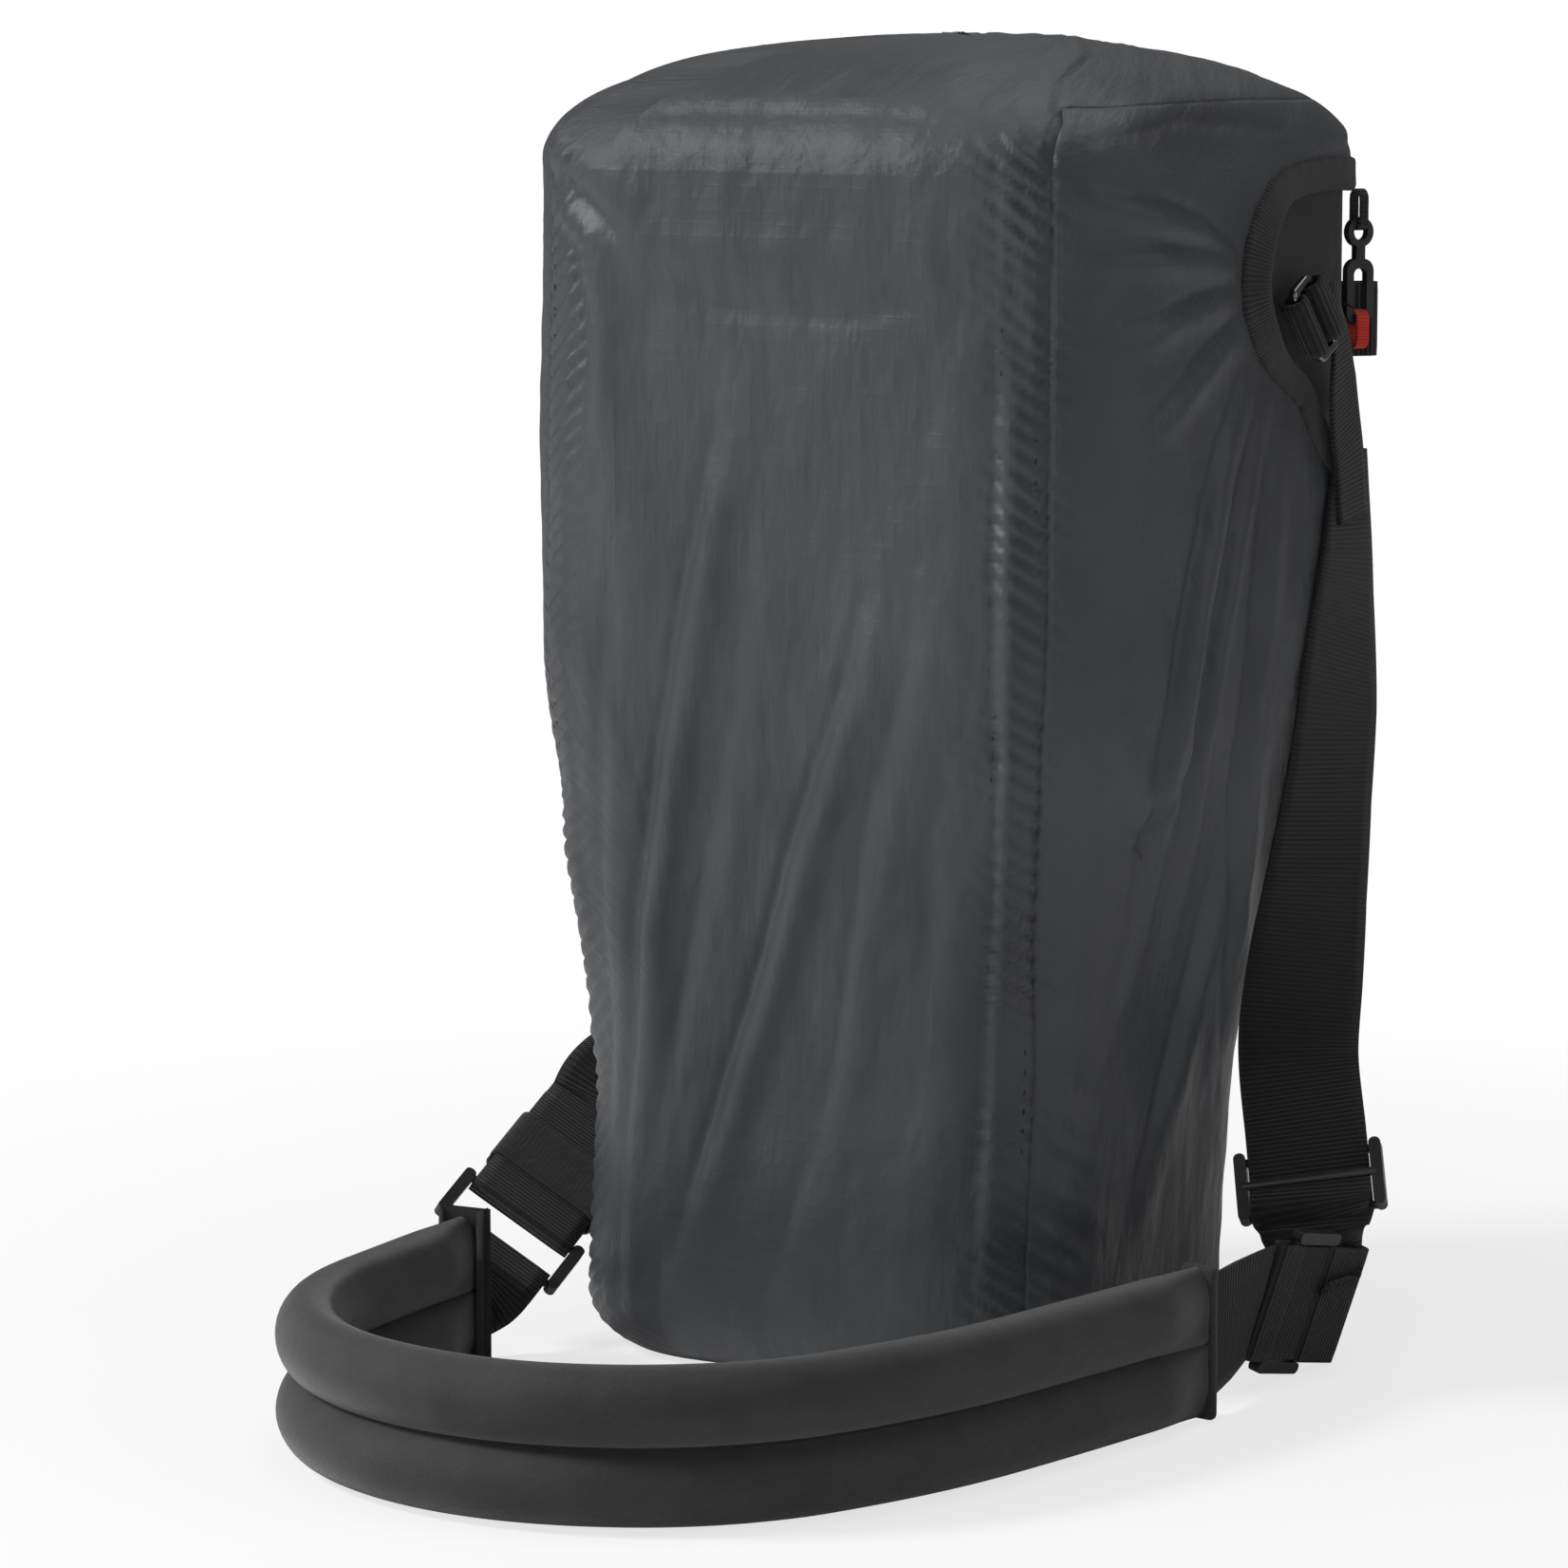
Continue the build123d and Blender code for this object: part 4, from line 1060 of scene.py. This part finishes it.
# elastic keeper: a short sleeve round the doubled strap
keeperSizes = dict(place=44.0, length=30.0, wall=1.4, thickness=1.3 * mm)
innerHigh = barGap + 2 * web + 2 * sizes["gap"]
halfX = (sizes["strap"] + 2 * sizes["gap"] + keeperSizes["wall"]) / 2
halfZ = (innerHigh + keeperSizes["wall"]) / 2
keeperTop = [(-0.9, 1), (-0.45, 1), (0, 1), (0.45, 1), (0.9, 1), (1, 0.6), (1, 0), (1, -0.6)]
keeperRing = []
for x, z in keeperTop + [(-x, -z) for x, z in keeperTop]:
    keeperRing.append((at(leftPlane, x * halfX, keeperSizes["place"], z * halfZ), leftPlane[2]))
keeper = webStrip(
    "strapKeeper", [(keeperRing, keeperSizes["length"], True)], material=elastic, body="keeper",
    thickness=keeperSizes["thickness"], ribDepth=0.05,
)
standFor(keeper, "elastic", "strap_keeper")

# ring, lead and anchor
wallX = 12 + 140 - 2.2
ringPlane = plane((wallX + 11.6, 50.0, 430.0), (0, 0.89, 0.455), (0.2, 0.45, -0.87))
ringGap = sizes["ringWire"] + 2.8
anchorPull = v3((-0.92, 0.39, 0))
anchorWay = (anchorPull - ringPlane[1] * anchorPull.dot(ringPlane[1])).normalized()
anchorPlane = plane(at(ringPlane, 0, -sizes["ringPitch"] / 2) / mm, anchorWay, ringPlane[1])
anchor = webStrip("anchorWebbing", [foldRun(anchorPlane, 1, 0, 3.4, sizes["lead"], ringGap)])
standFor(anchor, "webbing", "anchor_webbing")

leadTip = at(ringPlane, 0, sizes["ringPitch"] / 2 + 3.5 + ringGap / 2 + web / 2)
leadX = 156.5 + web + 0.35
leadRun = [
    (leadTip, ringPlane[1]),
    (v3((leadX + 3.5, 70, 430)) * mm, v3((0.15, 0.1, -0.95)), 0.8),
    (v3((leadX + 3.5, 74, 417)) * mm, v3((0.05, -0.75, -0.6)), 0.72),
    (v3((leadX + 2.5, 78, 402)) * mm, v3((0, -0.95, -0.33)), 0.9),
    (v3((leadX + 0.8, 84, 386)) * mm, v3((0, -0.97, -0.24))),
    (v3((leadX, 90, 370)) * mm, v3((0, -1, -0.1))),
    (v3((leadX, 94, 345)) * mm, v3((0, -1, 0))),
]
leadFold = foldRun(ringPlane, 1, sizes["ringPitch"] / 2, 3.5, sizes["lead"], ringGap)
lead = webStrip("strapLead", [(leadRun, sizes["lead"], False), leadFold])
standFor(lead, "webbing", "strap_lead")

# snap hook's tether, red loop and haul loop
hookPlane = plane((156.9, 100.2, 463.0), (0, 0, 1), (0.5, 0.866, 0))
tapeGap = 3.6 + 2.6
narrowTape = dict(thickness=1.0 * mm, ribPitch=1.2, ribDepth=0.06)
tether = webStrip("hookTether", [foldRun(hookPlane, 1, 4.8, 9, sizes["tape"], tapeGap, 1.0)], **narrowTape)
standFor(tether, "webbing", "hook_tether")
pullFold = foldRun(hookPlane, -1, -36.0, 8, sizes["pull"], tapeGap, 1.0)
redLoop = webStrip("redLoop", [pullFold], material=redTape, body="snap_hook", **narrowTape)
standFor(redLoop, "red_tape", "red_loop")
haulOut = 3.5 + web + 0.35 - 2.2
haulRoot = rearCorner(45, 425, haulOut)
haulPlane = plane(haulRoot / mm, (math.cos(math.pi / 4), math.sin(math.pi / 4), 0), (0, 0, 1))
haulLoop = webStrip("haulLoop", [foldRun(haulPlane, 1, 0, 8, sizes["haul"], 7)])
standFor(haulLoop, "webbing", "haul_loop")
print("webbing ready")


def placePad(u, v):
    p = padSizes
    count = len(padPoints) - 1
    i = v * count
    px = np.interp(i, np.arange(count + 1), padPoints[:, 0])
    py = np.interp(i, np.arange(count + 1), padPoints[:, 1])
    heading = np.interp(i, np.arange(count + 1), padHeadings)
    join = math.degrees(math.asin(p["lobeRise"] / p["lobeHigh"]))
    span = 180 + 2 * join
    upper = u < 0.5
    beta = np.radians(np.where(upper, -join + span * u * 2, 180 - join + span * (u * 2 - 1)))
    across = p["lobeWide"] * np.cos(beta)
    rise = np.where(upper, p["lobeRise"], -p["lobeRise"]) + p["lobeHigh"] * np.sin(beta)
    # the ends are pressed flatter where they are sewn in
    fromEnd = np.minimum(i, count - i)
    pressed = 1 - p["pressed"] * (1 - share(fromEnd, 0, 34))
    across = across * pressed
    groove = 1 - share(fromEnd, 4, 40)
    across = across + groove * np.sign(across) * 3.2 * np.exp(-((rise / 5.0) ** 2))
    length = i
    spots = zip(length / 60, rise / 14, across / 9)
    soft = 0.35 * np.array([noise.noise(Vector(spot)) for spot in spots])
    across = across * (1 + soft * 0.06)
    rise = rise * (1 + soft * 0.02)
    side = np.stack([-np.sin(heading), np.cos(heading)], 1)
    points = np.stack([px + side[:, 0] * across, py + side[:, 1] * across, p["height"] + rise], 1) * mm
    return points, np.stack([u * 0.18, length * mm], 1)


padMesh = mappedGrid(72, 420, placePad)
pad = finishMesh(weld(padMesh, capEnds=True), "shoulderPad", neoprene)
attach(pad, "bag")
standFor(pad, "neoprene", "pad_sleeve", "pad_core_upper", "pad_core_lower")


def endBinding(name, end, way, replaced):
    # a rounded bound edge standing round the pad's end
    bm = bmesh.new()
    bmesh.ops.create_cube(bm, size=1.0)
    side = v3((-way.y, way.x, 0))
    for vert in bm.verts:
        c = vert.co.copy()
        vert.co = end + way * ((c.x + 0.5) * padSizes["endLong"] - 0.6) * mm
        vert.co += side * (c.y * padSizes["endWide"]) * mm + v3((0, 0, c.z * padSizes["endHigh"])) * mm
    rounding = padSizes["endRound"] * mm
    bmesh.ops.bevel(
        bm, geom=bm.edges[:], offset=rounding, segments=4, profile=0.5, affect="EDGES", material=-1
    )
    bmesh.ops.recalc_face_normals(bm, faces=bm.faces[:])
    piece = finishMesh(bm, name, neoprene)
    piece.data.uv_layers.new(name="cloth")
    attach(piece, "bag")
    standFor(piece, "neoprene", replaced)


endBinding("padEndRight", padRight, firstWay * -1, "pad_end_binding_right")
endBinding("padEndLeft", padLeft, lastWay, "pad_end_binding_left")
print("pad ready")

for name, material in (
    ("anchor_ring", gunmetal), ("snap_hook", mouldedPlastic), ("right_slider", mouldedPlastic),
    ("left_slider", mouldedPlastic), ("right_adjuster", mouldedPlastic), ("base_board", boardPlastic),
):
    mesh = cadNodes[name].data
    mesh.materials.clear()
    mesh.materials.append(material)

bpy.context.scene.view_settings.view_transform = "Standard"
